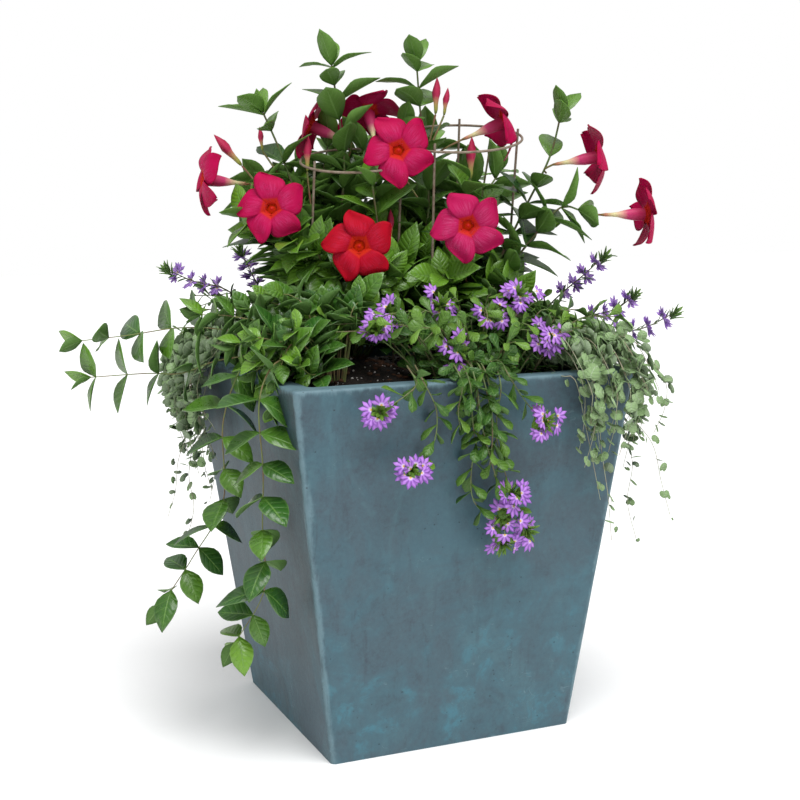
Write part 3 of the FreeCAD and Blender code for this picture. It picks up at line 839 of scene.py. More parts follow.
class PLANTER_OT_soil(bpy.types.Operator):
    """Lumpy soil surface with bark chips and white perlite"""
    bl_idname = "planter.soil"
    bl_label = "Soil surface"

    def execute(self, context):
        dice = random.Random(context.scene.planter_plants.seed + 1)
        half = MOUTH_HALF - 0.001
        bm = bmesh.new()
        bmesh.ops.create_grid(bm, x_segments=90, y_segments=90, size=half)
        under = bmesh.ops.extrude_face_region(bm, geom=bm.faces[:])["geom"]
        sunk = [part for part in under if isinstance(part, bmesh.types.BMVert)]
        top = [vert for vert in bm.verts if vert not in set(sunk)]
        bmesh.ops.translate(bm, verts=sunk, vec=(0, 0, SOIL_Z - 0.006))
        for vert in top:
            vert.co.z = SOIL_Z + self.lumps(vert.co, half)
        soil = soil_finish("soil_crumb", (0.010, 0.007, 0.005), (0.055, 0.034, 0.022), 300.0)
        add_piece("soil_surface", finish_mesh(bm, "soil_surface"), [soil], "soil")

        bark = grain_finish("bark_chip", (0.13, 0.055, 0.025), (0.035, 0.018, 0.010))
        perlite = grain_finish("perlite", (0.80, 0.78, 0.74), (0.55, 0.53, 0.50))
        self.scatter("bark_chips", dice, 700, half, bark, (0.002, 0.0065), 0.45)
        self.scatter("perlite_grains", dice, 420, half, perlite, (0.0009, 0.0021), 0.8)
        return {"FINISHED"}

    @staticmethod
    def lumps(place, half):
        """Height of the soil above its level: crumbs on gentle mounds, lower at the wall."""
        flat = Vector((place.x, place.y, 0))
        edge = max(abs(place.x), abs(place.y)) / half
        mound = 0.004 * noise.noise(flat * 14) + 0.004 * (1 - edge ** 4)
        mound += HEAP_RISE * math.exp(-((flat - HEAP).length / HEAP_REACH) ** 2)
        return mound + 0.0035 * abs(noise.noise(flat * 90)) + 0.0016 * noise.noise(flat * 240)

    def scatter(self, name, dice, count, half, material, sizes, flatness):
        """Loose grains lying on the soil, each a small faceted stone."""
        bm = bmesh.new()
        bmesh.ops.create_icosphere(bm, subdivisions=1, radius=1.0)
        for vert in bm.verts:
            vert.co *= 1 + 0.35 * noise.noise(vert.co * 1.7)
        shape = finish_mesh(bm, name + "_grain", smooth=False)
        grains = Foliage(name)
        for _ in range(count):
            x = dice.uniform(-half, half) * 0.98
            y = dice.uniform(-half, half) * 0.98
            size = dice.uniform(*sizes)
            z = SOIL_Z + self.lumps(Vector((x, y, 0)), half) + size * flatness * 0.3
            turn = Quaternion(UP, dice.uniform(0, math.tau)).to_matrix().to_4x4()
            tip = Quaternion((1, 0, 0), dice.uniform(-0.5, 0.5)).to_matrix().to_4x4()
            squeeze = Matrix.Diagonal((size, size * dice.uniform(0.45, 0.9), size * flatness, 1))
            grains.add(shape, Matrix.Translation((x, y, z)) @ turn @ tip @ squeeze)
        grains.piece([material], "soil")


# ---------------------------------------------------------------- climbers
CLIMBER_STEMS = {
    "left": [
        [(-.075, .045, .488), (-.062, .038, .580), (-.070, .040, .695), (-.062, .046, .790),
         (-.070, .052, .875), (-.075, .055, .922)],
        [(-.095, .055, .488), (-.100, .042, .570), (-.092, .045, .640), (-.125, .065, .735),
         (-.145, .082, .805), (-.166, .090, .858)],
        [(-.082, .020, .488), (-.100, .005, .560), (-.120, .015, .640), (-.148, .048, .712),
         (-.182, .078, .752)],
        [(-.060, .070, .488), (-.045, .095, .580), (-.070, .092, .680), (-.072, .105, .770),
         (-.060, .118, .812)],
        [(-.070, .030, .488), (-.045, -.005, .570), (-.042, -.030, .670), (-.055, -.042, .755)],
    ],
    "right": [
        [(.080, .020, .488), (.062, .005, .570), (.045, .012, .650), (.052, .010, .735),
         (.048, .025, .845), (.042, .026, .925)],
        [(.098, .010, .488), (.112, -.022, .560), (.125, -.050, .630), (.160, -.066, .710),
         (.195, -.084, .790), (.210, -.090, .850)],
        [(.095, -.005, .488), (.090, -.040, .550), (.118, -.066, .612), (.160, -.092, .675),
         (.200, -.108, .722), (.232, -.128, .714)],
        [(.070, .050, .488), (.058, .080, .580), (.085, .100, .670), (.078, .112, .760),
         (.098, .118, .815)],
        [(.085, .000, .488), (.070, -.030, .580), (.066, -.060, .690), (.074, -.080, .765)],
        [(.092, .020, .488), (.110, .005, .620), (.122, -.020, .740), (.129, -.033, .812)],
    ],
}
# Each open flower: the way it faces, its spin in degrees, its shade, how far its petals curl
# back, and where its stalk starts.
TRUMPETS = [
    ((-.93, .10, .10), 10, "rose", .40, (-.182, .078, .752)),
    ((-.55, -.80, .15), 4, "rose", .16, (-.135, .030, .675)),
    ((-.35, -.92, .05), -2, "scarlet", .12, (-.088, .010, .600)),
    ((-.28, -.92, .12), 20, "rose", .12, (.030, -.005, .735)),
    ((-.35, -.92, -.08), 12, "pink", .10, (.080, -.055, .620)),
    ((-.70, .45, .35), 40, "rose", .25, (-.060, .100, .780)),
    ((.10, .60, .70), 0, "rose", .30, (-.005, .030, .780)),
    ((.85, -.20, .35), 30, "rose", .55, (.060, -.005, .800)),
    ((.90, -.30, .15), 15, "rose", .40, (.190, -.085, .770)),
    ((.95, -.25, .00), 50, "rose", .30, (.232, -.128, .714)),
]
# Buds: the middle of each, the way its tip points, its length, and where its stalk starts.
BUDS = [
    ((-.218, .092, .806), (-.65, .10, .75), .058, (-.182, .078, .760)),
    ((-.170, .090, .822), (-.10, .00, 1.0), .034, (-.150, .082, .775)),
    ((-.118, .042, .800), (.05, .00, 1.0), .050, (-.110, .045, .700)),
    ((.066, .012, .880), (.05, -.02, 1.0), .052, (.052, .015, .800)),
    ((.080, .010, .872), (.15, -.05, 1.0), .040, (.052, .015, .800)),
    ((.100, -.030, .792), (.02, -.05, 1.0), .060, (.098, -.025, .720)),
    ((-.020, -.020, .700), (.00, -.05, 1.0), .045, (-.015, -.010, .650)),
]
SHADES = {
    "rose": ((0.420, 0.002, 0.062), (0.620, 0.055, 0.210), (0.290, 0.001, 0.028)),
    "scarlet": ((0.400, 0.001, 0.014), (0.560, 0.030, 0.090), (0.290, 0.001, 0.005)),
    "pink": ((0.440, 0.007, 0.082), (0.680, 0.110, 0.290), (0.330, 0.002, 0.045)),
}
# A flower's tube and the cone of stamens inside it: (depth, half width) in flower radii.
TUBE_LONG = 1.38
TUBE_PROFILE = [(-1.38, .030), (-1.24, .050), (-1.05, .056), (-.88, .075), (-.69, .125),
                (-.47, .165), (-.25, .175), (-.12, .180), (-.04, .205)]
STAMEN_PROFILE = [(-.21, .170), (-.16, .110), (-.12, .060), (-.06, .035), (-.04, .005)]
# How far a petal reaches to its left and right, by the share of the way along it.
PETAL_LEFT = [(0, -.14), (.25, -.31), (.5, -.42), (.68, -.44), (.80, -.43), (.90, -.39), (1, -.31)]
PETAL_RIGHT = [(0, .14), (.25, .32), (.42, .42), (.56, .43), (.68, .38), (.77, .28), (.85, .12),
               (.92, -.06), (1, -.24)]
# Shorter shoots that fill each climber: how many, and how much taller the tallest one is.
FILLING_SHOOTS = 36
FILLING_HEIGHT = {"left": .27, "right": .21}
VIEWER = Vector((-.39, -.92, 0))


def flower_disc(number, facing):
    """The middle of an open flower and the way it faces, read from the frame's node."""
    facing = Vector(facing).normalized()
    points = [v.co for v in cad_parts["mandevilla_flower_%d" % number].data.vertices]
    far = max(point.dot(facing) for point in points)
    rim = [point for point in points if point.dot(facing) > far - .002]
    return sum(rim, Vector()) / len(rim) - facing * .012, facing


def straight_stalk(start, end, sag=0.15):
    """A stalk from one place to another that bends a little on its way."""
    start = Vector(start)
    end = Vector(end)
    bow = (end - start).cross(UP) * sag
    return smooth_route([start, start.lerp(end, 0.5) + bow, end], 0.008)


class PLANTER_OT_climbers(bpy.types.Operator):
    """Stems and glossy leaves of the two climbing plants"""
    bl_idname = "planter.climbers"
    bl_label = "Climbers"

    def execute(self, context):
        look = context.scene.planter_plants
        dice = random.Random(look.seed + 2)
        outline = [(0, .010), (.08, .085), (.20, .175), (.35, .24), (.50, .255), (.65, .23),
                   (.80, .155), (.90, .070), (.96, .025), (1, 0)]
        shapes = [
            leaf_shape("climber_leaf_a", outline, 2, 9, .30, .16, .012, ripple=.05),
            leaf_shape("climber_leaf_b", outline, 2, 9, .45, .05, .012, ripple=.08, twist=.2),
            leaf_shape("climber_leaf_c", outline, 2, 9, .22, .30, .012, ripple=.06, twist=-.2),
        ]
        habit = LeafHabit(shapes, look.climber_leaf, .024, .95, .3, young=.90, droop=.08,
                          fresh_reach=.12)
        discs = []
        for number, (facing, *_) in enumerate(TRUMPETS, start=1):
            centre, heading = flower_disc(number, facing)
            discs.append((centre, heading, .15 if heading.y < -.7 else .03, .052))
        discs += [(Vector(place), VIEWER, .10, length * .35) for place, _, length, _ in BUDS]
        upper = leaf_finish("climber_leaf", (.014, .062, .009), (.120, .270, .018),
                            (.130, .270, .050), (.08, .16, .03), veins=9.0, gloss=.26, wax=.35)
        # The lower face's pale green is partly its own colour and partly painted light that brightens the
        # shaded undersides.
        under = underside_finish("climber_leaf_back", (.110, .230, .040), (.17, .31, .08))
        stalks = stem_finish("climber_stem", (.085, .150, .030), (.110, .070, .035))
        for side, routes in CLIMBER_STEMS.items():
            root = soil_spot("mandevilla_%s_roots" % side)
            foliage = Foliage("mandevilla_%s_leaves" % side)
            lines = [smooth_route(route, .012) for route in routes]
            foliage.keep_clear = discs
            for line in lines:
                dress_shoot(foliage, line, habit, dice, start=.05)
                end_tuft(foliage, line, habit, dice, leaves=2, scale=.85, spread=.75)
                end_tuft(foliage, line, habit, dice, leaves=2, scale=.50, spread=.30)
            for index in range(FILLING_SHOOTS):
                height = .08 + FILLING_HEIGHT[side] * ((index * GOLDEN_SHARE) % 1.0)
                line = smooth_route(self.side_shoot(root, index, height, dice), .012)
                dress_shoot(foliage, line, habit, dice, start=.055)
                end_tuft(foliage, line, habit, dice, leaves=2, scale=.8, spread=.7)
                lines.append(line)
            foliage.piece([upper, under], "mandevilla_leaf", "mandevilla_%s_foliage" % side)
            stem_piece("mandevilla_%s_vine" % side, lines, 2.2 * MM, stalks, "mandevilla_stem",
                       "mandevilla_%s_stems" % side, thin=.6)
        return {"FINISHED"}

    @staticmethod
    def side_shoot(root, index, height, dice):
        """A shorter filling shoot that leaves the root and arches outwards."""
        bearing = index * GOLDEN_TURN + dice.uniform(-.3, .3)
        out = Vector((math.cos(bearing), math.sin(bearing), 0))
        spread = dice.uniform(.03, .10)
        start = root + out * .02
        return [start, start + out * spread * .4 + UP * height * .45,
                start + out * spread * .8 + UP * height * .85,
                start + out * spread * 1.2 + UP * height]


class PLANTER_OT_trumpets(bpy.types.Operator):
    """Open trumpet flowers and slender buds of the climbers"""
    bl_idname = "planter.trumpets"
    bl_label = "Trumpet flowers"

    def execute(self, context):
        look = context.scene.planter_plants
        dice = random.Random(look.seed + 3)
        finishes = {}
        outer = [(0.0, (.20, .17, .05)), (.10, (.42, .16, .10)), (.28, (.62, .58, .30)),
                 (.42, (.62, .34, .26)), (.56, (.52, .035, .14)), (1.0, (.38, .004, .045))]
        # Inside the throat: its own orange, made brighter deep in the tube as painted light in the shaded
        # throat.
        throat_colour_and_light = [(0.0, (.80, .100, .004)), (.84, (.75, .070, .004)), (.92, (.60, .020, .004)),
                 (1.0, (.40, .003, .015))]
        tube = trumpet_finish("trumpet_tube", outer)
        throat = trumpet_finish("trumpet_throat", throat_colour_and_light)
        lines = []
        for number, (facing, spin, shade, curl, anchor) in enumerate(TRUMPETS, start=1):
            if shade not in finishes:
                finishes[shade] = petal_finish("petal_" + shade, *SHADES[shade])
            node = "mandevilla_flower_%d" % number
            mesh = self.trumpet(node, look.flower_radius, curl, dice)
            place, _ = flower_disc(number, facing)
            turn = self.face(facing, spin)
            mesh.transform(Matrix.Translation(place) @ turn)
            add_piece("trumpet_%d" % number, mesh, [finishes[shade], tube, throat],
                      "mandevilla_petal", node)
            base = place + turn @ Vector((0, 0, -look.flower_radius * TUBE_LONG))
            back = turn @ Vector((0, 0, -1))
            lines.append(smooth_route([anchor, Vector(anchor).lerp(base, .55) + back * .008, base],
                                      .006))
        buds = Foliage("mandevilla_bud_group")
        bud_shape = self.bud()
        for place, direction, length, anchor in BUDS:
            turn = UP.rotation_difference(Vector(direction)).to_matrix().to_4x4()
            buds.add(bud_shape, Matrix.Translation(place) @ turn @ Matrix.Scale(length, 4))
            foot = Vector(place) - Vector(direction).normalized() * length * .5
            lines.append(straight_stalk(anchor, foot, .1))
        stops = [(0.0, (.13, .17, .03)), (.18, (.34, .34, .07)), (.36, (.50, .24, .13)),
                 (.50, (.46, .025, .085)), (1.0, (.32, .005, .040))]
        buds.piece([trumpet_finish("bud_skin", stops)], "mandevilla_bud", "mandevilla_buds")
        stalk = stem_finish("flower_stalk", (.14, .17, .04), (.22, .08, .05))
        stem_piece("mandevilla_flower_stalks", lines, 1.3 * MM, stalk, "mandevilla_stem", thin=1.1)
        return {"FINISHED"}

    @staticmethod
    def face(facing, spin):
        """Turn +Z to the way the flower faces, keeping one petal near the top."""
        z = Vector(facing).normalized()
        x = UP.cross(z).normalized()
        y = z.cross(x)
        turn = Matrix((x, y, z)).transposed().to_4x4()
        return turn @ Matrix.Rotation(math.radians(spin), 4, "Z")

    def trumpet(self, name, radius, curl, dice):
        """Five overlapping petals on a flaring tube. Local +Z is out of the throat."""
        bm = bmesh.new()
        bm.loops.layers.uv.new("leaf")
        bm.verts.layers.float.new("reach")
        self.spun(bm, radius, TUBE_PROFILE)
        for index in range(5):
            self.petal(bm, radius, index, curl, dice)
        bmesh.ops.recalc_face_normals(bm, faces=bm.faces)
        bmesh.ops.solidify(bm, geom=bm.faces[:], thickness=radius * .014)
        bmesh.ops.recalc_face_normals(bm, faces=bm.faces)
        for face in bm.faces:
            centre = face.calc_center_median()
            around = math.hypot(centre.x, centre.y)
            if around < radius * (.34 if centre.z < -radius * .11 else .12):
                outward = face.normal.x * centre.x + face.normal.y * centre.y
                face.material_index = 1 if outward > 0 else 2
        stamens = bmesh.new()
        stamens.verts.layers.float.new("reach")
        self.spun(stamens, radius, STAMEN_PROFILE)
        for face in stamens.faces:
            face.material_index = 2
        cone = finish_mesh(stamens, name + "_stamens")
        bm.from_mesh(cone)
        bpy.data.meshes.remove(cone)
        return finish_mesh(bm, name)

    @staticmethod
    def spun(bm, radius, profile):
        """A profile of (depth, half width) in flower radii, spun round the flower's axis."""
        reach = bm.verts.layers.float["reach"]
        ring = [bm.verts.new((half * radius, 0, depth * radius)) for depth, half in profile]
        edges = [bm.edges.new(pair) for pair in zip(ring, ring[1:])]
        bmesh.ops.spin(bm, geom=ring + edges, cent=(0, 0, 0), axis=(0, 0, 1), angle=math.tau,
                       steps=26, use_merge=True, use_duplicate=False)
        for vert in bm.verts:
            vert[reach] = 1 + vert.co.z / (radius * TUBE_LONG)

    @staticmethod
    def petal(bm, radius, index, curl, dice):
        """One lopsided petal: its far corner runs to a point on the left."""
        bend = curl * dice.uniform(.8, 1.25)
        roll = dice.uniform(.14, .22)
        phase = dice.uniform(0, math.tau)
        grown = dice.uniform(.96, 1.04)
        made = bmesh.ops.create_grid(bm, x_segments=12, y_segments=14, size=.5, calc_uvs=True)
        petal = made["verts"]
        for vert in petal:
            across = vert.co.x + .5
            far = vert.co.y + .5
            low = along_stops(PETAL_LEFT, far)
            high = along_stops(PETAL_RIGHT, far)
            x = low + (high - low) * across
            y = .13 + .87 * far * grown
            swell = .045 * math.sin(math.pi * across) * math.sin(math.pi * min(far * 1.2, 1))
            z = .05 + swell - bend * far ** 2.4 - roll * x * math.sin(far * 2.2)
            z += .034 * math.sin(far * 7 + across * 5 + phase) * far
            z -= .16 * (1 - far) ** 6
            vert.co = Vector((x, y, z)) * radius
        turn = Matrix.Rotation(index * math.tau / 5 + dice.uniform(-.04, .04), 3, "Z")
        bmesh.ops.rotate(bm, verts=petal, cent=(0, 0, 0), matrix=turn)
        bmesh.ops.remove_doubles(bm, verts=petal, dist=radius * 2e-4)

    @staticmethod
    def bud():
        """A furled bud of unit length: a slim spindle with a slight twist."""
        bm = bmesh.new()
        reach = bm.verts.layers.float.new("reach")
        profile = [(-.5, .002), (-.46, .035), (-.36, .052), (-.22, .056), (-.08, .085), (.08, .112),
                   (.22, .100), (.36, .055), (.45, .022), (.5, .002)]
        ring = [bm.verts.new((half, 0, height)) for height, half in profile]
        edges = [bm.edges.new(pair) for pair in zip(ring, ring[1:])]
        bmesh.ops.spin(bm, geom=ring + edges, cent=(0, 0, 0), axis=(0, 0, 1), angle=math.tau,
                       steps=12, use_merge=True, use_duplicate=False)
        bmesh.ops.remove_doubles(bm, verts=bm.verts, dist=.0022)
        for vert in bm.verts:
            bearing = math.atan2(vert.co.y, vert.co.x)
            fold = 1 + .16 * math.sin(3 * bearing + vert.co.z * 9)
            vert[reach] = vert.co.z + .5
            vert.co.x *= fold
            vert.co.y *= fold
        return finish_mesh(bm, "bud")


# ---------------------------------------------------------------- vinca
VINCA_TRAILS = [
    [(-.190, -.060, .545), (-.250, .010, .562), (-.310, .035, .566), (-.375, .050, .558),
     (-.436, .066, .552)],
    [(-.200, -.040, .535), (-.262, .020, .520), (-.310, .032, .504), (-.355, .038, .506),
     (-.428, .056, .503)],
    [(-.185, -.120, .530), (-.240, -.168, .535), (-.268, -.186, .490), (-.262, -.176, .400),
     (-.266, -.180, .325), (-.262, -.168, .245), (-.288, -.120, .165)],
    [(-.195, -.080, .530), (-.250, -.090, .535), (-.284, -.080, .455), (-.286, -.074, .345),
     (-.318, -.030, .262), (-.352, .020, .186)],
]
VINCA_SHOOTS = 36


class PLANTER_OT_vinca(bpy.types.Operator):
    """Vinca: a glossy mass at the left front corner and its long trails"""
    bl_idname = "planter.vinca"
    bl_label = "Vinca"

    def execute(self, context):
        look = context.scene.planter_plants
        dice = random.Random(look.seed + 4)
        outline = [(0, .012), (.10, .12), (.30, .275), (.52, .30), (.74, .22), (.90, .09), (1, 0)]
        shapes = [
            leaf_shape("vinca_leaf_a", outline, 2, 7, .28, .12, .014, ripple=.04),
            leaf_shape("vinca_leaf_b", outline, 2, 7, .40, .02, .014, twist=.2),
            leaf_shape("vinca_leaf_c", outline, 2, 7, .18, .25, .014, twist=-.25),
        ]
        upper = leaf_finish("vinca_leaf", (.027, .105, .013), (.160, .340, .026), (.150, .300, .060),
                            (.20, .34, .11), veins=6.0, margin_share=.30, gloss=.24, wax=.45)
        under = underside_finish("vinca_leaf_back", (.095, .200, .045), (.18, .30, .10))
        habit = LeafHabit(shapes, look.vinca_leaf * .84, .024, 1.1, .45, young=.75, droop=.06)
        root = soil_spot("vinca_roots")
        mass = Foliage("vinca_mass")
        mass.bare = BARE_SOIL
        lines = []
        for index in range(VINCA_SHOOTS):
            line = smooth_route(self.arching(root, index, dice), .01)
            behind = line[-1].y > root.y
            dress_shoot(mass, line, habit, dice, start=.055 if behind else .03)
            end_tuft(mass, line, habit, dice, leaves=3, scale=.6, spread=.5)
            lines.append(line)
        mass.piece([upper, under], "vinca_leaf", "vinca_crown")
        trail_habit = LeafHabit(shapes, look.vinca_leaf * 1.08, .042, 1.25, .65, young=.85,
                                droop=.12)
        trails = Foliage("vinca_trail_foliage")
        for route in VINCA_TRAILS:
            line = smooth_route(route, .01)
            dress_shoot(trails, line, trail_habit, dice, start=.045, quarter=.5)
            end_tuft(trails, line, trail_habit, dice, leaves=2, scale=.6)
            lines.append(line)
        trails.piece([upper, under], "vinca_leaf", "vinca_trail_leaves")
        stalk = stem_finish("vinca_stem", (.15, .20, .05), (.20, .13, .06))
        stem_piece("vinca_stems", lines, 1.1 * MM, stalk, "soft_stem", "vinca_trails")
        return {"FINISHED"}

    @staticmethod
    def arching(root, index, dice):
        """A shoot that arches from the root: over the left rim, or high over the soil behind.

        No shoot leans to the front, so the soil inside the front rim stays bare.
        """
        bearing = math.radians(25 + 190 * ((index * GOLDEN_SHARE) % 1.0)) + dice.uniform(-.15, .15)
        out = Vector((math.cos(bearing), math.sin(bearing), 0))
        behind = out.y > .5
        reach = dice.uniform(.06, .19) if behind else dice.uniform(.05, .14)
        lift = dice.uniform(.08, .13) if behind else dice.uniform(.03, .10)
        drop = dice.uniform(-.02, .02) if behind else dice.uniform(-.02, .07)
        start = root + out * .015
        return [start, start + out * reach * .3 + UP * lift * .8,
                start + out * reach * .7 + UP * lift, start + out * reach + UP * (lift - drop)]


# ---------------------------------------------------------------- scaevola
SPRIGS = {
    "left": [
        [(-.150, .175, .560), (-.200, .180, .605), (-.250, .184, .620), (-.290, .188, .640)],
        [(-.130, .170, .560), (-.160, .168, .620), (-.184, .166, .668)],
    ],
    "right": [
        [(.190, -.020, .540), (.225, -.050, .590), (.255, -.078, .625), (.282, -.096, .655)],
        [(.200, -.060, .540), (.245, -.092, .565), (.285, -.118, .578), (.312, -.132, .602)],
        [(.200, -.090, .535), (.260, -.125, .545), (.310, -.150, .552), (.352, -.172, .576)],
    ],
}
# Each hanging stem after it has left the soil: places from the rim down the front face.
HANGING_SCAEVOLA = [
    [(-.077, -.262, .509), (-.060, -.258, .476), (-.061, -.254, .437), (-.080, -.254, .412)],
    [(-.088, -.262, .512), (-.102, -.266, .500), (-.124, -.268, .488), (-.140, -.270, .480)],
    [(-.003, -.260, .491), (.000, -.254, .445), (-.008, -.250, .393), (-.003, -.246, .352),
     (.025, -.244, .322), (.037, -.248, .298)],
    [(.008, -.261, .497), (.023, -.254, .444), (.034, -.252, .403), (.046, -.252, .366)],
    [(.038, -.263, .515), (.057, -.262, .487), (.080, -.264, .458)],
    [(-.026, -.262, .506), (-.030, -.258, .474), (-.025, -.254, .447)],
    [(-.015, -.262, .505), (-.009, -.256, .459), (-.001, -.252, .419)],
    [(.028, -.262, .502), (.025, -.256, .457), (.033, -.252, .423)],
    [(.012, -.262, .500), (.012, -.270, .440), (.012, -.262, .400)],
    [(.000, -.256, .470), (.010, -.262, .420), (.040, -.250, .345), (.070, -.244, .308)],
]
# Clusters of fan flowers: the middle of each, the way its tip points, and how many flowers.
FAN_CLUSTERS = [
    ((-.143, -.276, .481), (-.3, -.9, .2), 6), ((-.101, -.272, .405), (-.2, -.9, .1), 7),
    ((.086, -.278, .452), (.1, -.9, .2), 9), ((.046, -.270, .362), (.2, -.9, .1), 7),
    ((.033, -.262, .328), (-.2, -.9, -.1), 4), ((.073, -.256, .306), (.3, -.9, -.2), 3),
    ((.037, -.254, .289), (0, -.8, -.6), 2), ((-.084, -.158, .592), (-.2, -.8, .5), 4),
    ((-.106, -.172, .572), (-.4, -.8, .3), 4), ((-.010, -.172, .602), (0, -.8, .5), 5),
    ((-.012, -.228, .545), (0, -.9, .3), 5), ((.092, -.195, .612), (.1, -.8, .5), 8),
    ((.052, -.200, .586), (-.1, -.9, .3), 3), ((.118, -.222, .556), (.1, -.9, .3), 8),
    ((.060, .215, .640), (0, .7, .7), 6), ((-.070, .225, .630), (-.1, .8, .6), 6),
    ((.245, .120, .630), (.7, .4, .6), 6), ((.150, .235, .600), (.3, .9, .3), 6),
]
NARROW_OUTLINE = [(0, .04), (.3, .11), (.6, .13), (.85, .08), (1, .01)]
SCAEVOLA_MOUNDS = {
    "front": ((.045, -.160), (.140, .070), 44),
    "left": ((-.080, .180), (.135, .060), 34),
    "right": ((.155, .150), (.100, .085), 34),
}


class PLANTER_OT_scaevola(bpy.types.Operator):
    """Scaevola: mounds of small toothed leaves, hanging stems and purple fan flowers"""
    bl_idname = "planter.scaevola"
    bl_label = "Scaevola"

    def execute(self, context):
        look = context.scene.planter_plants
        dice = random.Random(look.seed + 5)
        outline = [(0, .03), (.25, .075), (.45, .15), (.60, .22), (.72, .225), (.82, .24), (.92, .15),
                   (1, .02)]
        shapes = [
            leaf_shape("scaevola_leaf_a", outline, 2, 8, .25, .15, .022),
            leaf_shape("scaevola_leaf_b", outline, 2, 8, .35, -.02, .022, twist=.3),
            leaf_shape("scaevola_leaf_c", outline, 2, 8, .15, .3, .022, twist=-.3),
        ]
        upper = leaf_finish("scaevola_leaf", (.034, .110, .013), (.145, .290, .030), (.18, .32, .07),
                            (.2, .3, .1), veins=5.0, gloss=.36, wax=.20)
        under = underside_finish("scaevola_leaf_back", (.10, .20, .05), (.18, .30, .09))
        habit = LeafHabit(shapes, look.fan_leaf, .0105, 1.0, .4, pairs=False, young=.8)
        lines = []
        for side, (centre, spread, count) in SCAEVOLA_MOUNDS.items():
            mound = Foliage("scaevola_%s_leaves" % side)
            mound.bare = BARE_SOIL
            for index in range(count):
                line = smooth_route(self.mound_shoot(centre, spread, index, count, dice), .01)
                dress_shoot(mound, line, habit, dice, start=.015, quarter=GOLDEN_TURN)
                lines.append(line)
            if side == "front":
                for route in HANGING_SCAEVOLA:
                    start = Vector((route[0][0] * .6, -.185, SOIL_Z + .02))
                    over = Vector((route[0][0], -RIM_HALF + .01, RIM_Z + .022))
                    line = smooth_route([start, over, *route], .01)
                    dress_shoot(mound, line, habit, dice, start=.02, quarter=GOLDEN_TURN)
                    lines.append(line)
            mound.piece([upper, under], "scaevola_leaf", "scaevola_%s_crown" % side)
        stalk = stem_finish("scaevola_stem", (.13, .20, .06), (.15, .11, .06))
        stem_piece("scaevola_stems", lines, 1.2 * MM, stalk, "soft_stem")
        narrow = leaf_shape("narrow_leaf", NARROW_OUTLINE, 2, 4, .3, .1, .04)
        fan = self.fan_flower()
        blooms = Foliage("fan_flowers")
        tufts = Foliage("scaevola_tufts")
        flower_stalks = []
        for place, facing, count in FAN_CLUSTERS:
            place = Vector(place)
            axis = Vector(facing).normalized()
            flower_stalks += self.cluster(blooms, fan, place, axis, count, dice)
            self.tuft(tufts, narrow, place, axis, .018, dice)
        small_stalk = stem_finish("fan_flower_stalk", (.13, .22, .05), (.20, .22, .08))
        stem_piece("fan_flower_stalks", flower_stalks, .55 * MM, small_stalk, "soft_stem", sides=1)
        buds = Foliage("sprig_flowers")
        for side, routes in SPRIGS.items():
            sprigs = [smooth_route(route, .008) for route in routes]
            for line in sprigs:
                self.sprig(tufts, buds, narrow, fan, line, dice)
            stalk = stem_finish("sprig_stem_" + side, (.10, .13, .05), (.13, .08, .05))
            stem_piece("scaevola_%s_twigs" % side, sprigs, 1.3 * MM, stalk, "soft_stem",
                       "scaevola_%s_sprigs" % side)
        violet = self.fan_finish("fan_petal", (.25, .085, .46), (.50, .24, .70))
        deep_violet = self.fan_finish("sprig_petal", (.23, .105, .46), (.46, .27, .68))
        blooms.piece([violet, violet], "scaevola_petal", "scaevola_flowers")
        buds.piece([deep_violet, deep_violet], "scaevola_petal")
        tufts.piece([upper, under], "scaevola_leaf")
        return {"FINISHED"}

    @staticmethod
    def mound_shoot(centre, spread, index, count, dice):
        """A short shoot of a mound: it rises from the soil and leans outwards."""
        bearing = index * GOLDEN_TURN
        share = math.sqrt((index + .5) / count)
        foot = Vector((centre[0] + math.cos(bearing) * spread[0] * share * .6,
                       centre[1] + math.sin(bearing) * spread[1] * share * .6, SOIL_Z))
        lean = Vector((math.cos(bearing) * spread[0], math.sin(bearing) * spread[1], 0)) * share
        high = dice.uniform(.075, .125) * (1.1 - .35 * share)
        return [foot, foot + lean * .2 + UP * high * .5, foot + lean * .6 + UP * high,
                foot + lean * dice.uniform(.9, 1.2) + UP * high * dice.uniform(.85, 1.15)]

    @staticmethod
    def cluster(blooms, fan, place, axis, count, dice):
        """Fan flowers in a ring round the tip of a stem, each turned outwards on its stalk."""
        side = axis.orthogonal().normalized()
        stalks = []
        for index in range(count + 3):
            outward = Quaternion(axis, index * GOLDEN_TURN + dice.uniform(-.5, .5)) @ side
            start = place + outward * dice.uniform(.002, .019) + axis * dice.uniform(-.016, .012)
            along = outward + axis * dice.uniform(-.4, .5) - UP * .15
            face = axis + outward * dice.uniform(-.3, .5) + UP * dice.uniform(0, .3)
            blooms.add(fan, set_leaf(start, along, face, dice.uniform(.0120, .0165)))
            stalks.append([place - axis * .012, start])
        return stalks

    @staticmethod
    def tuft(tufts, narrow, place, axis, size, dice):
        """A star of narrow young leaves at the tip of a stem."""
        side = axis.orthogonal().normalized()
        for index in range(14):
            outward = Quaternion(axis, index * GOLDEN_TURN) @ side
            along = axis + outward * (.25 + 1.1 * index / 14)
            start = place + outward * .0015 - axis * (.004 + .008 * index / 14)
            grown = size * dice.uniform(.7, 1.1)
            tufts.add(narrow, set_leaf(start, along, axis - outward, grown), dice.uniform(.5, 1.0))

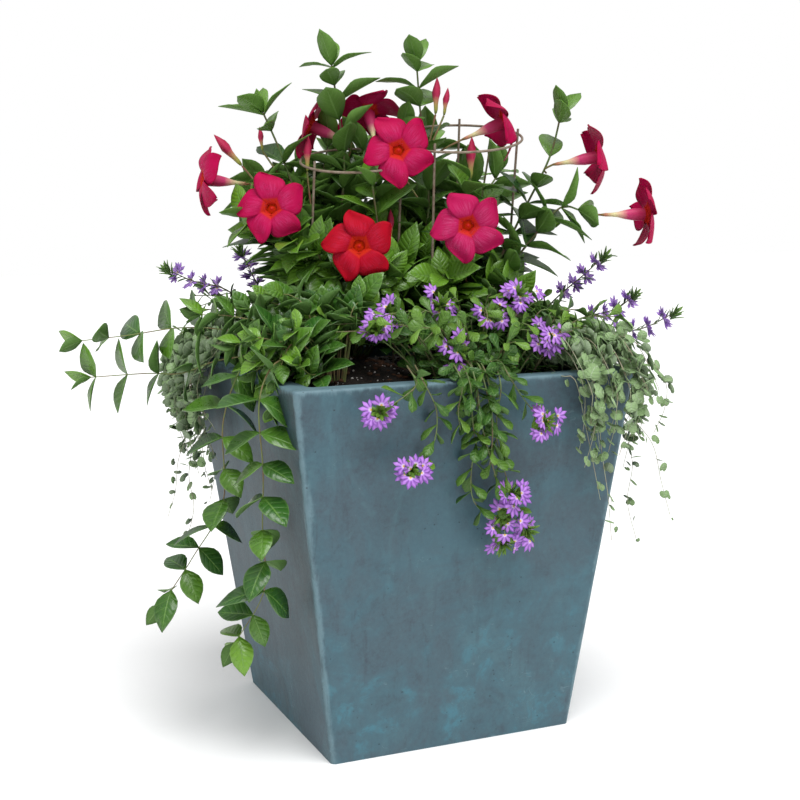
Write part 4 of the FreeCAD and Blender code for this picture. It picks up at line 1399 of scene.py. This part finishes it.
    def sprig(self, tufts, buds, narrow, fan, line, dice):
        """A stiff twig: narrow leaves, four whorls of small flowers and a tuft at its tip."""
        for place, ahead, _ in walk(line, .02, .0065):
            outward = Quaternion(ahead, dice.uniform(0, math.tau)) @ ahead.orthogonal().normalized()
            size = dice.uniform(.010, .020)
            tufts.add(narrow, set_leaf(place, ahead + outward, UP + outward * .3, size))
        total = distances(line)[-1]
        for share in (.50, .62, .74, .88):
            place, ahead, _ = next(walk(line, share * total, total))
            for index in range(4):
                turn = Quaternion(ahead, index * 1.6 + dice.uniform(-.4, .4))
                outward = turn @ ahead.orthogonal().normalized()
                size = dice.uniform(.014, .018)
                face = ahead + VIEWER * dice.uniform(-.2, 1.0) - outward * .2
                buds.add(fan, set_leaf(place + outward * .003, outward + ahead * .6, face, size))
        self.tuft(tufts, narrow, line[-1], (line[-1] - line[-2]).normalized() + UP * .5, .017, dice)

    @staticmethod
    def fan_finish(name, deep, pale):
        """Violet petals, lighter along the middle, with a yellow spot where they meet."""
        shader = Shader(name)
        across, along, _ = shader.axes(shader.sheet())
        side = abs(across - .5) * 2
        own = shader.own()
        colour = shader.mix(own * .45 + side.step(.9, .1) * .55, deep, pale)
        colour = shader.mix(along.step(.30, .14) * .8, colour, (.72, .62, .84))
        colour = shader.mix(along.step(.14, .05), colour, (.80, .48, .10))
        normal = shader.bump(side, .0005)
        return shader.finish(Base_Color=colour, Roughness=.5, Normal=normal,
                             Specular_IOR_Level=.2)

    @staticmethod
    def fan_flower():
        """Five petals spread like a hand, one unit long."""
        stops = [(0, .05), (.25, .08), (.5, .16), (.75, .19), (.92, .12), (1, .02)]
        petal = leaf_shape("fan_petal_shape", stops, 1, 3, -.25, .12, .03)
        bm = bmesh.new()
        for index in range(5):
            copy = petal.copy()
            spread = math.radians((index - 2) * 38)
            grown = 1 - .06 * abs(index - 2)
            copy.transform(Matrix.Rotation(spread, 4, "Z") @ Matrix.Scale(grown, 4))
            bm.from_mesh(copy)
            bpy.data.meshes.remove(copy)
        return finish_mesh(bm, "fan_flower")


# ---------------------------------------------------------------- dichondra
# Each plant hangs over the rim along a path of rim corners: the path, how many strands, how far
# they drop, and how many short shoots make its crown.
DICHONDRA_CURTAINS = {
    "right": {"path": [(1, .02), (1, -1), (.56, -1)], "count": 46, "drop": (.02, .15), "crown": 46},
    "left": {"path": [(-.75, 1), (-1, 1), (-1, .30)], "count": 38, "drop": (.06, .20), "crown": 26},
}
LONG_STRANDS = {
    "right": [
        [(.280, -.100, .430), (.292, -.096, .380), (.286, -.100, .330), (.298, -.092, .290)],
        [(.285, -.130, .420), (.302, -.140, .360), (.300, -.132, .300), (.310, -.140, .246)],
        [(.290, -.150, .430), (.312, -.176, .390), (.318, -.190, .340), (.330, -.196, .290)],
        [(.280, -.030, .380), (.290, -.020, .320), (.280, -.014, .270), (.288, -.006, .220)],
        [(.140, -.255, .501), (.158, -.252, .440), (.186, -.245, .335)],
        [(.186, -.262, .498), (.178, -.256, .432), (.196, -.248, .340), (.206, -.242, .277)],
    ],
    "left": [
        [(-.262, .190, .400), (-.276, .204, .350), (-.280, .210, .305), (-.290, .222, .262)],
        [(-.262, .150, .400), (-.275, .146, .340), (-.268, .150, .290), (-.278, .158, .240)],
        [(-.200, .270, .420), (-.206, .282, .360), (-.198, .286, .310), (-.206, .292, .262)],
    ],
}


class PLANTER_OT_dichondra(bpy.types.Operator):
    """Dichondra: curtains of small round silver-green leaves with thin hanging strands"""
    bl_idname = "planter.dichondra"
    bl_label = "Dichondra"

    def execute(self, context):
        look = context.scene.planter_plants
        dice = random.Random(look.seed + 6)
        shapes = [round_leaf_shape("round_leaf_a", 10, .14, .03),
                  round_leaf_shape("round_leaf_b", 10, -.08, .03)]
        upper = leaf_finish("dichondra_leaf", (.215, .340, .140), (.400, .545, .300), (.40, .50, .34),
                            (.3, .4, .3), veins=4.0, gloss=.60, wax=0.0)
        under = underside_finish("dichondra_leaf_back", (.27, .36, .22), (.36, .44, .30))
        thread = stem_finish("dichondra_stem", (.36, .40, .25), (.34, .28, .20))
        for side, plan in DICHONDRA_CURTAINS.items():
            curtain = Foliage("dichondra_%s_curtain" % side)
            root = soil_spot("dichondra_%s_roots" % side)
            lines = []
            for index in range(plan["count"]):
                line = smooth_route(self.strand(plan, index, root, dice), .008)
                self.dress(curtain, line, shapes, look.round_leaf * .80, dice, .0105)
                lines.append(line)
            for index in range(plan["crown"]):
                line = smooth_route(self.crown_shoot(root, index, dice), .01)
                self.dress(curtain, line[2:], shapes, look.round_leaf * .95, dice, .009)
                lines.append(line)
            for route in LONG_STRANDS[side]:
                first = Vector(route[0])
                rim = first * (RIM_HALF / max(abs(first.x), abs(first.y)))
                rim.z = RIM_Z + .012
                start = root.lerp(rim, .5) + UP * .01
                line = smooth_route([start, rim - root.lerp(rim, .1) * .03, *route], .008)
                self.dress(curtain, line, shapes, look.round_leaf * .60, dice, .020)
                lines.append(line)
            curtain.piece([upper, under], "dichondra_leaf", "dichondra_%s_crown" % side)
            stem_piece("dichondra_%s_threads" % side, lines, .7 * MM, thread, "thread_stem",
                       "dichondra_%s_strands" % side, sides=1)
        return {"FINISHED"}

    @staticmethod
    def strand(plan, index, root, dice):
        """A strand from the root over the rim; it hangs close outside the leaning wall."""
        path = [Vector((x * RIM_HALF, y * RIM_HALF, RIM_Z)) for x, y in plan["path"]]
        spacing = distances(path)[-1] / plan["count"]
        rim, ahead, _ = next(walk(path, (index + dice.uniform(.2, .8)) * spacing, 9.0))
        out = Vector((ahead.y, -ahead.x, 0))
        if out.dot(rim) < 0:
            out.negate()
        out = (out + Vector((rim.x, rim.y, 0)).normalized() * .5).normalized()
        proud = dice.uniform(.010, .045)
        least, most = plan["drop"]
        drop = least + (most - least) * dice.random() ** 1.5
        hang = rim + out * proud
        return [root.lerp(rim, dice.uniform(.2, .6)) + UP * .02, rim - out * .015 + UP * (.012 + proud * .8),
                hang - UP * .012, hang + out * .004 - UP * (drop * .5 + .012),
                hang - out * dice.uniform(.0, .02) + ahead * dice.uniform(-.015, .015) - UP * (drop + .012)]

    @staticmethod
    def crown_shoot(root, index, dice):
        """A short shoot of the cushion of leaves above the root."""
        bearing = index * GOLDEN_TURN
        out = Vector((math.cos(bearing), math.sin(bearing), 0))
        reach = dice.uniform(.02, .085)
        lift = dice.uniform(.05, .085) - reach * .25
        return [root, root + out * reach * .5 + UP * lift, root + out * reach + UP * lift * .9]

    @staticmethod
    def dress(curtain, line, shapes, size, dice, spacing):
        """Round leaves set a little off the strand, turned to the light."""
        for place, _, left in walk(line, .0, spacing):
            outward = Vector((place.x, place.y, 0)).normalized()
            swing = Quaternion(outward, dice.uniform(0, math.tau)) @ outward.orthogonal().normalized()
            along = swing + outward * dice.uniform(.1, .6) + UP * .15
            face = outward * dice.uniform(.3, 1.1) + UP * dice.uniform(.2, 1.2)
            face += Vector((dice.uniform(-.7, .7), dice.uniform(-.7, .7), 0))
            grown = .55 + .45 * min(1, left / .05)
            leaf_size = size * grown * dice.uniform(.75, 1.15)
            start = place + along.normalized() * dice.uniform(.001, .007)
            curtain.add(dice.choice(shapes), set_leaf(start, along, face, leaf_size))


# ---------------------------------------------------------------- panel and registration
STEPS = ("box", "soil", "climbers", "trumpets", "vinca", "scaevola", "dichondra", "stage")


class PLANTER_PT_panel(bpy.types.Panel):
    """Lists the steps that dress the planter"""
    bl_idname = "PLANTER_PT_panel"
    bl_label = "Planted planter"
    bl_space_type = "VIEW_3D"
    bl_region_type = "UI"
    bl_category = "Planter"

    def draw(self, context):
        for step in STEPS:
            self.layout.operator("planter." + step)
        for group in ("planter_stage", "planter_shell", "planter_plants"):
            settings = getattr(context.scene, group)
            for name in settings.bl_rna.properties.keys():
                if name not in ("rna_type", "name"):
                    self.layout.prop(settings, name)


CLASSES = (
    StageLook, ShellLook, PlantLook, PLANTER_OT_stage, PLANTER_OT_box, PLANTER_OT_soil,
    PLANTER_OT_climbers, PLANTER_OT_trumpets, PLANTER_OT_vinca, PLANTER_OT_scaevola,
    PLANTER_OT_dichondra, PLANTER_PT_panel,
)


def register():
    for cls in CLASSES:
        bpy.utils.register_class(cls)
    bpy.types.Scene.planter_stage = bpy.props.PointerProperty(type=StageLook)
    bpy.types.Scene.planter_shell = bpy.props.PointerProperty(type=ShellLook)
    bpy.types.Scene.planter_plants = bpy.props.PointerProperty(type=PlantLook)


def unregister():
    del bpy.types.Scene.planter_plants
    del bpy.types.Scene.planter_shell
    del bpy.types.Scene.planter_stage
    for cls in reversed(CLASSES):
        bpy.utils.unregister_class(cls)


def main():
    register()
    for step in STEPS:
        getattr(bpy.ops.planter, step)()


if __name__ == "__main__":
    main()
